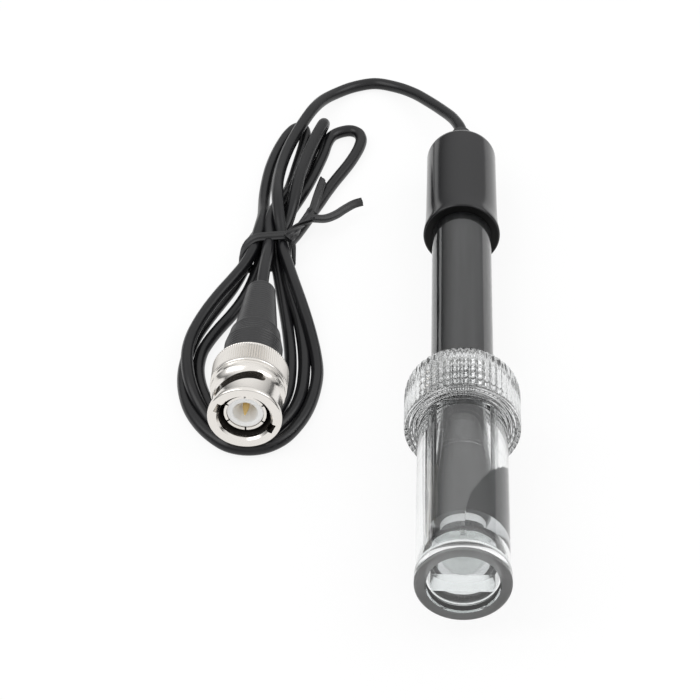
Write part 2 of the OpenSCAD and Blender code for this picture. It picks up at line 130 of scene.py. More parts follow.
@dataclass(frozen=True)
class Finish:
    """One finish: the constants of a shader, how its surface varies, and a slot name that nothing in the
    script reads.
    """

    name: str
    colour: tuple[float, float, float]
    roughness: float = 0.4
    metallic: float = 0.0
    transmission: float = 0.0
    ior: float = 1.5
    specular: float = 0.5
    glow: float = 0.0
    surface: Surface = Surface.SMOOTH
    bump: float = 0.0
    scale: float = 300.0
    slot: str = ""

    def material(self) -> bpy.types.Material:
        """Builds the finish's node material once and returns it.

        Returns:
            The material, which is shared by all pieces of this finish.
        """
        title = f"finish_{self.name}"
        found = bpy.data.materials.get(title)
        if found is not None:
            return found
        made = bpy.data.materials.new(title)
        made.use_nodes = True
        tree = made.node_tree
        shader = tree.nodes["Principled BSDF"]
        for socket, value in (
            ("Base Color", (*self.colour, 1.0)),
            ("Metallic", self.metallic),
            ("Roughness", self.roughness),
            ("IOR", self.ior),
            ("Transmission Weight", self.transmission),
            ("Specular IOR Level", self.specular),
            ("Emission Color", (*self.colour, 1.0)),
            ("Emission Strength", self.glow),
        ):
            shader.inputs[socket].default_value = value
        self._break_up(tree, shader)
        return made

    def _break_up(self, tree: bpy.types.NodeTree, shader: bpy.types.Node) -> None:
        """Adds the fine variation of the surface, from object coordinates.

        Args:
            tree: the material's node tree.
            shader: the shader that the variation is linked to.
        """
        if self.surface is Surface.SMOOTH:
            return
        place = tree.nodes.new("ShaderNodeTexCoord")
        noise = tree.nodes.new("ShaderNodeTexNoise")
        noise.inputs["Scale"].default_value = self.scale
        noise.inputs["Detail"].default_value = 3.0
        if self.surface in (Surface.DRAWN, Surface.STREAKED):
            stretch = tree.nodes.new("ShaderNodeMapping")
            stretch.inputs["Scale"].default_value = (1.0, 0.03, 1.0)
            tree.links.new(place.outputs["Object"], stretch.inputs["Vector"])
            tree.links.new(stretch.outputs["Vector"], noise.inputs["Vector"])
        else:
            tree.links.new(place.outputs["Object"], noise.inputs["Vector"])
        if self.surface is Surface.STREAKED:
            self._streak(tree, shader, noise.outputs["Fac"])
            return
        bump = tree.nodes.new("ShaderNodeBump")
        bump.inputs["Strength"].default_value = self.bump
        bump.inputs["Distance"].default_value = 0.1 * MM
        tree.links.new(noise.outputs["Fac"], bump.inputs["Height"])
        tree.links.new(bump.outputs["Normal"], shader.inputs["Normal"])
        if self.surface in (Surface.GRAINED, Surface.DRAWN):
            spread = tree.nodes.new("ShaderNodeMapRange")
            spread.inputs["To Min"].default_value = max(0.0, self.roughness - 0.08)
            spread.inputs["To Max"].default_value = min(1.0, self.roughness + 0.08)
            tree.links.new(noise.outputs["Fac"], spread.inputs["Value"])
            tree.links.new(spread.outputs["Result"], shader.inputs["Roughness"])

    def _streak(
        self, tree: bpy.types.NodeTree, shader: bpy.types.Node, noise: bpy.types.NodeSocket
    ) -> None:
        """Makes the colour lighter and darker in streaks.

        Args:
            tree: the material's node tree.
            shader: the shader that is coloured.
            noise: the noise that the streaks follow.
        """
        shade = tree.nodes.new("ShaderNodeMapRange")
        shade.inputs["From Min"].default_value = 0.3
        shade.inputs["From Max"].default_value = 0.7
        shade.inputs["To Min"].default_value = 0.72
        shade.inputs["To Max"].default_value = 1.35
        tint = tree.nodes.new("ShaderNodeVectorMath")
        tint.operation = "SCALE"
        tint.inputs[0].default_value = self.colour
        tree.links.new(noise, shade.inputs["Value"])
        tree.links.new(shade.outputs["Result"], tint.inputs["Scale"])
        tree.links.new(tint.outputs["Vector"], shader.inputs["Base Color"])


# Clear and wet materials. A wall that liquid wets bends light by the ratio of the two.
SMOKE_COLOUR = (0.70, 0.71, 0.72)
CLEAR_COLOUR = (0.94, 0.95, 0.95)
PLASTIC_IOR = 1.58
WET_IOR = 1.19
SMOKE = Finish(
    "smoke_plastic", SMOKE_COLOUR, 0.04, transmission=1.0, ior=PLASTIC_IOR,
    surface=Surface.MOULDED, bump=0.05, scale=90, slot="smoky_plastic",
)
CLEAR = Finish(
    "clear_plastic", CLEAR_COLOUR, 0.02, transmission=1.0, ior=PLASTIC_IOR,
    surface=Surface.MOULDED, bump=0.04, scale=110, slot="clear_plastic",
)
WET_SMOKE = Finish("smoke_plastic_wet", SMOKE_COLOUR, 0.04, transmission=1.0, ior=WET_IOR)
WET_CLEAR = Finish("clear_plastic_wet", CLEAR_COLOUR, 0.02, transmission=1.0, ior=WET_IOR)
# The bottle's foot is frosted, and its dull grey is painted shade for the dark that the wall shows end-on.
FROST_AND_SHADE = Finish("clear_plastic_foot", (0.21, 0.21, 0.21), 0.42, transmission=0.55)
GLASS = Finish(
    "electrode_glass", (0.92, 0.94, 0.94), 0.01, transmission=1.0,
    surface=Surface.MOULDED, bump=0.02, scale=200, slot="clear_glass",
)
LIQUID = Finish("storage_liquid", (0.96, 0.98, 0.98), 0.0, transmission=1.0, ior=1.33, slot="solution")

# What lies in the tube. The bulb's cup is a thin white sheet whose glow is painted light: it gives back the
# light that the clear layers before the cup take.
PAINTED_GLOW_SHEET = Finish("bulb_cup", (0.90, 0.90, 0.89), 0.45, glow=0.55, slot="black_resin")
GEL = Finish(
    "electrolyte_gel", (0.050, 0.051, 0.052), 0.35,
    surface=Surface.STREAKED, scale=420, slot="dark_gel",
)
TIP_RESIN = Finish(
    "tip_resin", (0.050, 0.051, 0.052), 0.4,
    surface=Surface.MOULDED, bump=0.1, scale=240, slot="black_resin",
)
RESIN = Finish("black_resin", (0.02, 0.02, 0.02), 0.45, surface=Surface.GRAINED, bump=0.1)
CERAMIC = Finish("white_ceramic", (0.82, 0.81, 0.78), 0.7, surface=Surface.GRAINED, bump=0.3, scale=900)
SILVER = Finish(
    "silver_wire", (0.72, 0.71, 0.69), 0.3, metallic=1.0, surface=Surface.DRAWN, bump=0.05, scale=900
)
SLEEVE = Finish("shrink_sleeve", (0.03, 0.03, 0.03), 0.5, surface=Surface.GRAINED, bump=0.1)

# Blacks of the cap, the cable, the tie and the boot
# The face under the cap's lip is a dull ring of painted shade: it reflects less than the cap, for the dark
# that it mirrors.
LIP_SHADE = Finish("lip_face", (0.006, 0.006, 0.006), 0.35, specular=0.12, slot="black_plastic")
GLOSS_BLACK = Finish(
    "cap_black", (0.008, 0.008, 0.009), 0.16, specular=0.4,
    surface=Surface.MOULDED, bump=0.04, scale=160, slot="black_plastic",
)
JACKET = Finish(
    "cable_jacket", (0.006, 0.006, 0.007), 0.3, specular=0.36,
    surface=Surface.MOULDED, bump=0.015, scale=400, slot="cable_jacket",
)
TIE = Finish(
    "tie_plastic", (0.014, 0.014, 0.015), 0.42,
    surface=Surface.GRAINED, bump=0.15, scale=800, slot="tie_plastic",
)
BOOT = Finish(
    "boot_black", (0.016, 0.016, 0.017), 0.38,
    surface=Surface.GRAINED, bump=0.08, scale=700, slot="boot_rubber",
)

# Metals, seals, white parts, and the painted shade in the plug's bore
NICKEL = Finish(
    "nickel_plate", (0.80, 0.77, 0.73), 0.19, metallic=1.0,
    surface=Surface.DRAWN, bump=0.03, scale=500, slot="nickel",
)
# Painted shade: a dark, dull sheet laid in the coupling's bore and key ways, where only shade falls.
SHADE = Finish("dark_bore", (0.02, 0.018, 0.016), 0.6, specular=0.1, slot="nickel")
SPRING = Finish(
    "spring_steel", (0.55, 0.55, 0.56), 0.3, metallic=1.0,
    surface=Surface.DRAWN, bump=0.05, scale=700, slot="spring_steel",
)
GOLD = Finish(
    "gold_plate", (0.86, 0.63, 0.27), 0.18, metallic=1.0,
    surface=Surface.DRAWN, bump=0.03, scale=900, slot="gold",
)
INSULATOR = Finish(
    "white_insulator", (0.90, 0.90, 0.89), 0.3, surface=Surface.MOULDED, bump=0.03, slot="white_insulator"
)
GASKET = Finish(
    "gasket_silicone", (0.20, 0.07, 0.04), 0.45, surface=Surface.GRAINED, bump=0.1, slot="gasket_rubber"
)
SEAL = Finish(
    "seal_silicone", (0.42, 0.42, 0.41), 0.35, surface=Surface.MOULDED, bump=0.1, slot="seal_rubber"
)
WASHER = Finish("washer_plastic", (0.80, 0.80, 0.79), 0.4, surface=Surface.MOULDED, bump=0.1)


def arc(centre: tuple[float, float], radius: float, start: float, end: float, steps: int = 6) -> Profile:
    """Gives the points of a round stretch of a profile.

    Args:
        centre: the arc's centre as radius and station.
        radius: the arc's own radius.
        start: the first point's angle from the outward direction towards +Z, in degrees.
        end: the last point's angle.
        steps: how many chords the arc has.

    Returns:
        The points, from start to end.
    """
    angles = [math.radians(start + (end - start) * i / steps) for i in range(steps + 1)]
    return [(centre[0] + radius * math.cos(a), centre[1] + radius * math.sin(a)) for a in angles]


def finished_mesh(work: bmesh.types.BMesh) -> bpy.types.Mesh:
    """Turns the faces of a worked mesh outwards and gives it as a mesh of its own.

    Args:
        work: the worked mesh, which is freed.

    Returns:
        The mesh, which takes its name with its piece.
    """
    bmesh.ops.recalc_face_normals(work, faces=work.faces)
    mesh = bpy.data.meshes.new("shape")
    work.to_mesh(mesh)
    work.free()
    return mesh


def cover_rings(
    work: bmesh.types.BMesh, rings: Sequence[Sequence[bmesh.types.BMVert]], ends: bool = True
) -> None:
    """Covers the stretches between rings of equal count with faces.

    Args:
        work: the worked mesh.
        rings: the rings of vertices, in order.
        ends: whether the first and the last ring are filled.
    """
    for low, high in zip(rings, rings[1:]):
        for k in range(len(low)):
            n = (k + 1) % len(low)
            work.faces.new([low[k], low[n], high[n], high[k]])
    if ends:
        work.faces.new(list(reversed(rings[0])))
        work.faces.new(rings[-1])


def lathe(profile: Profile, segments: int = 128, close: bool = True) -> bpy.types.Mesh:
    """Turns a profile of radius and station about local Z into a mesh.

    Args:
        profile: the points, anticlockwise with radius to the right and station upwards.
        segments: how many steps the turn has.
        close: whether the last point joins the first.

    Returns:
        The mesh, in millimetres.
    """
    work = bmesh.new()
    angles = [2 * math.pi * k / segments for k in range(segments)]
    rings: list[list[bmesh.types.BMVert]] = []
    for radius, station in profile:
        if radius < 1e-6:
            rings.append([work.verts.new((0.0, 0.0, station))])
            continue
        rings.append([work.verts.new((radius * math.cos(a), radius * math.sin(a), station)) for a in angles])
    pairs = list(zip(rings, rings[1:]))
    if close:
        pairs.append((rings[-1], rings[0]))
    for low, high in pairs:
        for k in range(segments):
            n = (k + 1) % segments
            corners = [low[k % len(low)], low[n % len(low)], high[n % len(high)], high[k % len(high)]]
            unique = list(dict.fromkeys(corners))
            if len(unique) > 2:
                work.faces.new(unique)
    return finished_mesh(work)


def slotted_wall(
    inner: float,
    outer: float,
    stations: Sequence[float],
    segments: int,
    solid: Callable[[float, float], bool],
) -> bpy.types.Mesh:
    """Makes a round wall in which some cells are left out, such as slots.

    Args:
        inner: the wall's inner radius.
        outer: the wall's outer radius.
        stations: the heights of the rows of cells, rising.
        segments: how many cells go round.
        solid: says whether there is wall at an angle in degrees and a station.

    Returns:
        A closed mesh, in millimetres.
    """
    work = bmesh.new()
    rows = len(stations) - 1
    vertices: dict[tuple[int, int, int], bmesh.types.BMVert] = {}

    def corner(side: int, row: int, k: int) -> bmesh.types.BMVert:
        """Gives the shared vertex of a grid corner.

        Args:
            side: 0 for the inner wall and 1 for the outer one.
            row: the corner's row of stations.
            k: the corner's step round the wall.

        Returns:
            The vertex, which is made when it is first asked for.
        """
        key = (side, row, k % segments)
        if key not in vertices:
            radius = outer if side else inner
            a = 2 * math.pi * key[2] / segments
            vertices[key] = work.verts.new((radius * math.cos(a), radius * math.sin(a), stations[row]))
        return vertices[key]

    def filled(row: int, k: int) -> bool:
        """Says whether a cell is there.

        Args:
            row: the cell's row.
            k: the cell's step round the wall.

        Returns:
            True where there is wall.
        """
        if row < 0 or row >= rows:
            return False
        middle = math.degrees(2 * math.pi * (k % segments) / segments + math.pi / segments)
        return solid(middle, (stations[row] + stations[row + 1]) / 2)

    def face(*corners: tuple[int, int, int]) -> None:
        """Adds a face between grid corners."""
        work.faces.new([corner(*place) for place in corners])

    for row in range(rows):
        for k in range(segments):
            if not filled(row, k):
                continue
            over, on = row + 1, k + 1
            for side in (0, 1):
                face((side, row, k), (side, row, on), (side, over, on), (side, over, k))
            for level, beside in ((row, row - 1), (over, over)):
                if not filled(beside, k):
                    face((0, level, k), (0, level, on), (1, level, on), (1, level, k))
            for edge, beside in ((k, k - 1), (on, on)):
                if not filled(row, beside):
                    face((0, row, edge), (1, row, edge), (1, over, edge), (0, over, edge))
    return finished_mesh(work)


def join_meshes(meshes: Iterable[bpy.types.Mesh]) -> bpy.types.Mesh:
    """Joins meshes that share one piece into one mesh.

    Args:
        meshes: the meshes, in the same millimetres.

    Returns:
        One new mesh with all their faces.
    """
    work = bmesh.new()
    for mesh in meshes:
        work.from_mesh(mesh)
    joined = bpy.data.meshes.new("joined")
    work.to_mesh(joined)
    work.free()
    return joined


def cut_mesh(mesh: bpy.types.Mesh, cutter: bpy.types.Mesh, operation: str = "DIFFERENCE") -> bpy.types.Mesh:
    """Cuts or joins one mesh with another by an exact boolean.

    Args:
        mesh: the mesh that is cut.
        cutter: the other mesh.
        operation: the boolean's kind.

    Returns:
        The result as a new mesh.
    """
    body = bpy.data.objects.new("cut_body", mesh)
    tool = bpy.data.objects.new("cut_tool", cutter)
    for thing in (body, tool):
        bpy.context.scene.collection.objects.link(thing)
    modifier = body.modifiers.new("cut", "BOOLEAN")
    modifier.operation = operation
    modifier.solver = "EXACT"
    modifier.object = tool
    graph = bpy.context.evaluated_depsgraph_get()
    result = bpy.data.meshes.new_from_object(body.evaluated_get(graph))
    for thing in (body, tool):
        bpy.data.objects.remove(thing)
    return result


class RippleGroup:
    """A node group that raises even ridges on a turned surface, such as ribs, knurls and rings."""

    NAME = "raise_ridges"

    def __init__(self) -> None:
        """Builds the group's nodes once."""
        self.tree = bpy.data.node_groups.get(self.NAME) or self._build()

    def _build(self) -> bpy.types.NodeTree:
        """Makes the tree: a cosine ridge round the axis or along it, inside one band.

        Returns:
            The finished node tree.
        """
        tree = bpy.data.node_groups.new(self.NAME, "GeometryNodeTree")
        face = tree.interface
        face.new_socket("Geometry", in_out="INPUT", socket_type="NodeSocketGeometry")
        for name in ("Ridges round", "Pitch along", "Depth", "From", "To", "Fade", "Least radius"):
            face.new_socket(name, in_out="INPUT", socket_type="NodeSocketFloat")
        face.new_socket("Finish", in_out="INPUT", socket_type="NodeSocketMaterial")
        face.new_socket("Geometry", in_out="OUTPUT", socket_type="NodeSocketGeometry")
        nodes, links = tree.nodes, tree.links
        inside = nodes.new("NodeGroupInput")
        outside = nodes.new("NodeGroupOutput")
        where = nodes.new("GeometryNodeInputPosition")
        split = nodes.new("ShaderNodeSeparateXYZ")
        links.new(where.outputs["Position"], split.inputs["Vector"])

        def math_node(kind: str, a: object, b: object = None) -> bpy.types.NodeSocket:
            """Adds a math node.

            Args:
                kind: the node's operation.
                a: the first number or socket.
                b: the second one, if the operation has two.

            Returns:
                The node's result.
            """
            node = nodes.new("ShaderNodeMath")
            node.operation = kind
            for slot, value in ((0, a), (1, b)):
                if isinstance(value, (int, float)):
                    node.inputs[slot].default_value = value
                elif value is not None:
                    links.new(value, node.inputs[slot])
            return node.outputs[0]

        def limited(value: bpy.types.NodeSocket) -> bpy.types.NodeSocket:
            """Limits a value to the range from 0 to 1.

            Args:
                value: the socket that is limited.

            Returns:
                The limited value.
            """
            node = nodes.new("ShaderNodeClamp")
            links.new(value, node.inputs["Value"])
            return node.outputs["Result"]

        x, y, z = split.outputs
        angle = math_node("ARCTAN2", y, x)
        radius = math_node("SQRT", math_node("ADD", math_node("MULTIPLY", x, x), math_node("MULTIPLY", y, y)))
        around = math_node("MULTIPLY", angle, inside.outputs["Ridges round"])
        along = math_node("MULTIPLY", math_node("MULTIPLY", z, inside.outputs["Pitch along"]), 2 * math.pi)
        wave = math_node("COSINE", math_node("ADD", around, along))
        lifted = math_node("MULTIPLY", math_node("ADD", wave, -1.0), 0.5)
        into = math_node("DIVIDE", math_node("SUBTRACT", z, inside.outputs["From"]), inside.outputs["Fade"])
        out_of = math_node("DIVIDE", math_node("SUBTRACT", inside.outputs["To"], z), inside.outputs["Fade"])
        band = math_node("MULTIPLY", limited(into), limited(out_of))
        beyond = math_node("GREATER_THAN", radius, inside.outputs["Least radius"])
        ridge = math_node("MULTIPLY", lifted, inside.outputs["Depth"])
        depth = math_node("MULTIPLY", ridge, math_node("MULTIPLY", band, beyond))
        share = math_node("DIVIDE", depth, math_node("MAXIMUM", radius, 0.001))
        offset = nodes.new("ShaderNodeCombineXYZ")
        links.new(math_node("MULTIPLY", x, share), offset.inputs["X"])
        links.new(math_node("MULTIPLY", y, share), offset.inputs["Y"])
        move = nodes.new("GeometryNodeSetPosition")
        links.new(inside.outputs["Geometry"], move.inputs["Geometry"])
        links.new(offset.outputs["Vector"], move.inputs["Offset"])
        real = nodes.new("GeometryNodeRealizeInstances")
        links.new(move.outputs["Geometry"], real.inputs["Geometry"])
        dress = nodes.new("GeometryNodeSetMaterial")
        links.new(real.outputs["Geometry"], dress.inputs["Geometry"])
        links.new(inside.outputs["Finish"], dress.inputs["Material"])
        links.new(dress.outputs["Geometry"], outside.inputs["Geometry"])
        return tree

    def raised(
        self,
        mesh: bpy.types.Mesh,
        finish: Finish,
        depth: float,
        band: tuple[float, float],
        round_count: float = 0.0,
        pitch: float = 0.0,
        fade: float = 0.05,
        least_radius: float = 0.0,
    ) -> bpy.types.Mesh:
        """Bakes ridges into a mesh.

        Args:
            mesh: the plain mesh, in millimetres on local Z.
            finish: the finish that the group sets.
            depth: how deep the grooves between the ridges are.
            band: the first and last station of the ridges.
            round_count: how many ridges stand round the axis.
            pitch: the distance between rings along the axis, or 0 for none.
            fade: the length over which the ridges run out.
            least_radius: only surfaces beyond this radius are ridged.

        Returns:
            The baked mesh.
        """
        thing = bpy.data.objects.new("ripple", mesh)
        bpy.context.scene.collection.objects.link(thing)
        modifier = thing.modifiers.new("ripple", "NODES")
        modifier.node_group = self.tree
        values = {
            "Ridges round": round_count,
            "Pitch along": 1.0 / pitch if pitch else 0.0,
            "Depth": depth,
            "From": band[0],
            "To": band[1],
            "Fade": fade,
            "Least radius": least_radius,
            "Finish": finish.material(),
        }
        for item in self.tree.interface.items_tree:
            if item.in_out == "INPUT" and item.name in values:
                modifier[item.identifier] = values[item.name]
        graph = bpy.context.evaluated_depsgraph_get()
        baked = bpy.data.meshes.new_from_object(thing.evaluated_get(graph))
        bpy.data.objects.remove(thing)
        return baked


def add_piece(
    name: str,
    mesh: bpy.types.Mesh,
    finish: Finish,
    node: str = "",
    body: Body = Body.ELECTRODE,
    place: Matrix = ELECTRODE,
    sharp: float = 40.0,
) -> bpy.types.Object:
    """Places a mesh in the frame as one finished piece.

    Args:
        name: the piece's name.
        mesh: its mesh in millimetres.
        finish: its finish.
        node: the CAD node that it stands for, if it stands for one.
        body: the CAD body that it rides on.
        place: the placement into the frame.
        sharp: edges sharper than this angle in degrees stay hard.

    Returns:
        The new object, at the origin.
    """
    mesh.transform(place)
    if mesh.materials:
        mesh.materials[0] = finish.material()
    else:
        mesh.materials.append(finish.material())
    mesh.shade_smooth()
    mesh.set_sharp_from_angle(angle=math.radians(sharp))
    mesh.name = name
    thing = bpy.data.objects.new(name, mesh)
    bpy.context.scene.collection.objects.link(thing)
    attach(thing, body.value)
    if node:
        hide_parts(node)
    LOG.info("piece %s: %d faces", name, len(mesh.polygons))
    return thing


def dress_node(node: str, finish: Finish) -> None:
    """Gives a CAD node a finish.

    Args:
        node: the node's name.
        finish: its finish.
    """
    thing = frame["nodes"][node]
    if not thing.material_slots:
        thing.data.materials.append(finish.material())
    for place in thing.material_slots:
        place.material = finish.material()


def smooth_route(points: Sequence[Point], steps: int = 8) -> list[Vector]:
    """Runs a smooth curve through chosen points.

    Args:
        points: the points, in order.
        steps: how many stretches lie between two points.

    Returns:
        The points of the curve, with the ends kept.
    """
    given = [Vector(p) for p in points]
    padded = [2 * given[0] - given[1], *given, 2 * given[-1] - given[-2]]
    line: list[Vector] = []
    for a, b, c, d in zip(padded, padded[1:], padded[2:], padded[3:]):
        gap_ab = max((b - a).length ** 0.5, 1e-6)
        gap_bc = max((c - b).length ** 0.5, 1e-6)
        gap_cd = max((d - c).length ** 0.5, 1e-6)
        into = (b - a) / gap_ab - (c - a) / (gap_ab + gap_bc) + (c - b) / gap_bc
        out_of = (c - b) / gap_bc - (d - b) / (gap_bc + gap_cd) + (d - c) / gap_cd
        m0, m1 = into * gap_bc, out_of * gap_bc
        for i in range(steps):
            t = i / steps
            t2, t3 = t * t, t * t * t
            line.append(
                (2 * t3 - 3 * t2 + 1) * b + (t3 - 2 * t2 + t) * m0 + (3 * t2 - 2 * t3) * c + (t3 - t2) * m1
            )
    line.append(given[-1])
    return line


def sweep(
    line: Sequence[Vector],
    section: Callable[[float], list[tuple[float, float]]],
    side: Callable[[float, Vector], Vector],
    closed: bool = False,
) -> bpy.types.Mesh:
    """Sweeps a section that may turn and change along a line.

    Args:
        line: the line's points, in millimetres.
        section: gives the section's points at a share of the way, across and up.
        side: gives the section's across direction at a share of the way and a heading.
        closed: whether the line joins up.

    Returns:
        The closed mesh.
    """
    work = bmesh.new()
    rings: list[list[bmesh.types.BMVert]] = []
    count = len(line)
    for i, at in enumerate(line):
        before = line[i - 1] if i or closed else line[0]
        after = line[(i + 1) % count] if i < count - 1 or closed else line[-1]
        heading = (after - before).normalized()
        share = i / (count if closed else count - 1)
        across = side(share, heading)
        across = (across - across.dot(heading) * heading).normalized()
        up = heading.cross(across)
        rings.append([work.verts.new(at + u * across + v * up) for u, v in section(share)])
    cover_rings(work, rings + rings[:1] if closed else rings, ends=not closed)
    return finished_mesh(work)


@dataclass
class Wetting:
    """Where the storage liquid stands between the body tube and the bottle.

    It fills the gap below the pool's level and climbs on the right, up to an angle from the top.
    """

    pool_level: float = 10.1
    reach: float = 6.7
    first: float = 7.5
    last: float = 50.8
    climb: tuple[tuple[float, float], ...] = (
        (1.0, 7.5), (1.0, 9.8), (6.0, 14.4), (18.0, 18.4),
        (48.0, 25.0), (88.0, 30.5), (112.0, 33.0), (109.0, 50.8),
    )

    def __post_init__(self) -> None:
        """Runs a smooth line through the climbing edge's angles and stations."""
        line = smooth_route([(angle, station, 0.0) for angle, station in self.climb], 12)
        self.edge = [(point.x, point.y) for point in line]

    def below(self, station: float) -> float:
        """Gives how far the pool's level lies below the axis at a station."""
        return LIE_Z - station * math.sin(math.radians(LIE_ANGLE)) - self.pool_level

    def span(self, station: float) -> tuple[float, float]:
        """Gives the wet stretch at a station.

        Args:
            station: the height along the electrode's axis.

        Returns:
            Where the stretch starts and ends, as angles from the top towards +X.
        """
        level = math.degrees(math.acos(self.below(station) / self.reach))
        at = min(max(station, self.first), self.last)
        for (low_angle, low), (high_angle, high) in zip(self.edge, self.edge[1:]):
            if low <= at <= high:
                share = (at - low) / max(high - low, 1e-6)
                return low_angle + (high_angle - low_angle) * share, 180.0 + level
        return 180.0 - level, 180.0 + level

    def stations(self) -> list[float]:
        """Gives the heights at which a wetted wall needs its rows."""
        return [station for _, station in self.edge]

    def dress(self, mesh: bpy.types.Mesh, radius: float, finish: Finish) -> None:
        """Gives a lathed wall's wet faces their own finish.

        Args:
            mesh: the lathed mesh, in millimetres, before it is placed.
            radius: the wall's radius.
            finish: the finish of the wet faces.
        """
        mesh.materials.append(finish.material())
        place = len(mesh.materials) - 1
        for face in mesh.polygons:
            x, y, z = face.center
            if abs(math.hypot(x, y) - radius) > 0.01 or not self.first < z < self.last:
                continue
            start, end = self.span(z)
            if start <= math.degrees(math.atan2(x, -y)) % 360.0 <= end:
                face.material_index = place


@dataclass(frozen=True)
class Lamp:
    """One large square lamp, with its place and width in millimetres and its power in watts."""

    name: str
    at: Point
    width: float
    power: float


@dataclass
class Studio:
    """Camera, floor and lamps. The camera stands where the photograph was taken from.

    The surround rises from a dim horizon, darkest on the left, to a white ceiling.
    """

    camera_at: Point = (-10.185, -409.895, 368.642)
    pitch: float = 41.452
    yaw: float = 1.623
    lens: float = 144.0
    sensor: float = 36.0
    floor_half: float = 3000.0
    floor_colour: float = 0.86
    floor_seen_white: float = 0.88
    lamps: tuple[Lamp, ...] = (
        Lamp("lamp_left", (-420.0, -60.0, 520.0), 500.0, 1.4),
        Lamp("lamp_right", (460.0, 120.0, 480.0), 420.0, 1.0),
    )
    lamps_aim: Point = (-15.0, 20.0, 0.0)
    horizon: float = 0.05
    sky: float = 0.55
    left_edge: float = -0.7
    right_edge: float = 0.5
    left_level: float = 0.06
    right_level: float = 0.5
    sky_level: float = 1.0

    def build(self) -> None:
        """Makes the camera, the floor, the lamps and the world."""
        self._camera()
        self._floor()
        self._lamps()
        self._world()

    def _camera(self) -> None:
        """Places the camera."""
        data = bpy.data.cameras.new("camera")
        data.lens = self.lens
        data.sensor_width = self.sensor
        data.clip_end = 50.0
        thing = bpy.data.objects.new("camera", data)
        thing.location = Vector(self.camera_at) * MM
        thing.rotation_euler = (math.radians(90 - self.pitch), 0.0, math.radians(self.yaw))
        bpy.context.scene.collection.objects.link(thing)
        bpy.context.scene.camera = thing

    def _floor(self) -> None:
        """Makes the plain white surface that the object lies on."""
        half = self.floor_half * MM
        mesh = bpy.data.meshes.new("floor")
        corners = [(-half, -half, 0), (half, -half, 0), (half, half, 0), (-half, half, 0)]
        mesh.from_pydata(corners, [], [(0, 1, 2, 3)])
        floor = bpy.data.objects.new("floor", mesh)
        bpy.context.scene.collection.objects.link(floor)
        made = bpy.data.materials.new("floor_white")
        made.use_nodes = True
        tree = made.node_tree
        shader = tree.nodes["Principled BSDF"]
        shader.inputs["Base Color"].default_value = (*[self.floor_colour] * 3, 1.0)
        shader.inputs["Roughness"].default_value = 0.9
        shader.inputs["Specular IOR Level"].default_value = 0.0
        glow = tree.nodes.new("ShaderNodeEmission")
        glow.inputs["Strength"].default_value = 1.0
        mix = tree.nodes.new("ShaderNodeMixShader")
        seen = seen_directly(tree)
        strength = tree.nodes.new("ShaderNodeMath")
        strength.operation = "MULTIPLY"
        strength.inputs[1].default_value = self.floor_seen_white
        tree.links.new(seen, strength.inputs[0])
        tree.links.new(strength.outputs[0], mix.inputs["Fac"])
        tree.links.new(shader.outputs["BSDF"], mix.inputs[1])
        tree.links.new(glow.outputs["Emission"], mix.inputs[2])
        tree.links.new(mix.outputs["Shader"], tree.nodes["Material Output"].inputs["Surface"])
        mesh.materials.append(made)

    def _lamps(self) -> None:
        """Adds two large soft lamps."""
        for lamp in self.lamps:
            data = bpy.data.lights.new(lamp.name, "AREA")
            data.shape = "SQUARE"
            data.size = lamp.width * MM
            data.energy = lamp.power
            thing = bpy.data.objects.new(lamp.name, data)
            thing.location = Vector(lamp.at) * MM
            aim = Vector(self.lamps_aim) * MM - thing.location
            thing.rotation_euler = aim.to_track_quat("-Z", "Y").to_euler()
            bpy.context.scene.collection.objects.link(thing)

    def _world(self) -> None:
        """Makes the surround: white to the camera, and to all else a sky that rises from its horizon."""
        world = bpy.data.worlds.new("surround")
        world.use_nodes = True
        bpy.context.scene.world = world
        tree = world.node_tree
        back = tree.nodes["Background"]
        back.inputs["Color"].default_value = (1.0, 1.0, 1.0, 1.0)
        place = tree.nodes.new("ShaderNodeTexCoord")
        split = tree.nodes.new("ShaderNodeSeparateXYZ")
        tree.links.new(place.outputs["Generated"], split.inputs["Vector"])
        sky = tree.nodes.new("ShaderNodeMapRange")
        sky.inputs["From Min"].default_value = self.horizon
        sky.inputs["From Max"].default_value = self.sky
        across = tree.nodes.new("ShaderNodeMapRange")
        across.inputs["From Min"].default_value = self.left_edge
        across.inputs["From Max"].default_value = self.right_edge
        across.inputs["To Min"].default_value = self.left_level
        across.inputs["To Max"].default_value = self.right_level
        tree.links.new(split.outputs["X"], across.inputs["Value"])
        tree.links.new(across.outputs["Result"], sky.inputs["To Min"])
        sky.inputs["To Max"].default_value = self.sky_level
        tree.links.new(split.outputs["Z"], sky.inputs["Value"])
        path = tree.nodes.new("ShaderNodeLightPath")
        white = tree.nodes.new("ShaderNodeMath")
        white.operation = "MAXIMUM"
        tree.links.new(path.outputs["Is Camera Ray"], white.inputs[0])
        tree.links.new(sky.outputs["Result"], white.inputs[1])
        tree.links.new(white.outputs[0], back.inputs["Strength"])


def seen_directly(tree: bpy.types.NodeTree) -> bpy.types.NodeSocket:
    """Gives a value that is 1 for rays from the camera, a mirror or clear material.

    Args:
        tree: the node tree that the nodes are added to.

    Returns:
        The value's socket.
    """
    path = tree.nodes.new("ShaderNodeLightPath")
    either = tree.nodes.new("ShaderNodeMath")
    either.operation = "MAXIMUM"
    tree.links.new(path.outputs["Is Camera Ray"], either.inputs[0])
    tree.links.new(path.outputs["Is Glossy Ray"], either.inputs[1])
    both = tree.nodes.new("ShaderNodeMath")
    both.operation = "MAXIMUM"
    tree.links.new(either.outputs[0], both.inputs[0])
    tree.links.new(path.outputs["Is Transmission Ray"], both.inputs[1])
    return both.outputs[0]


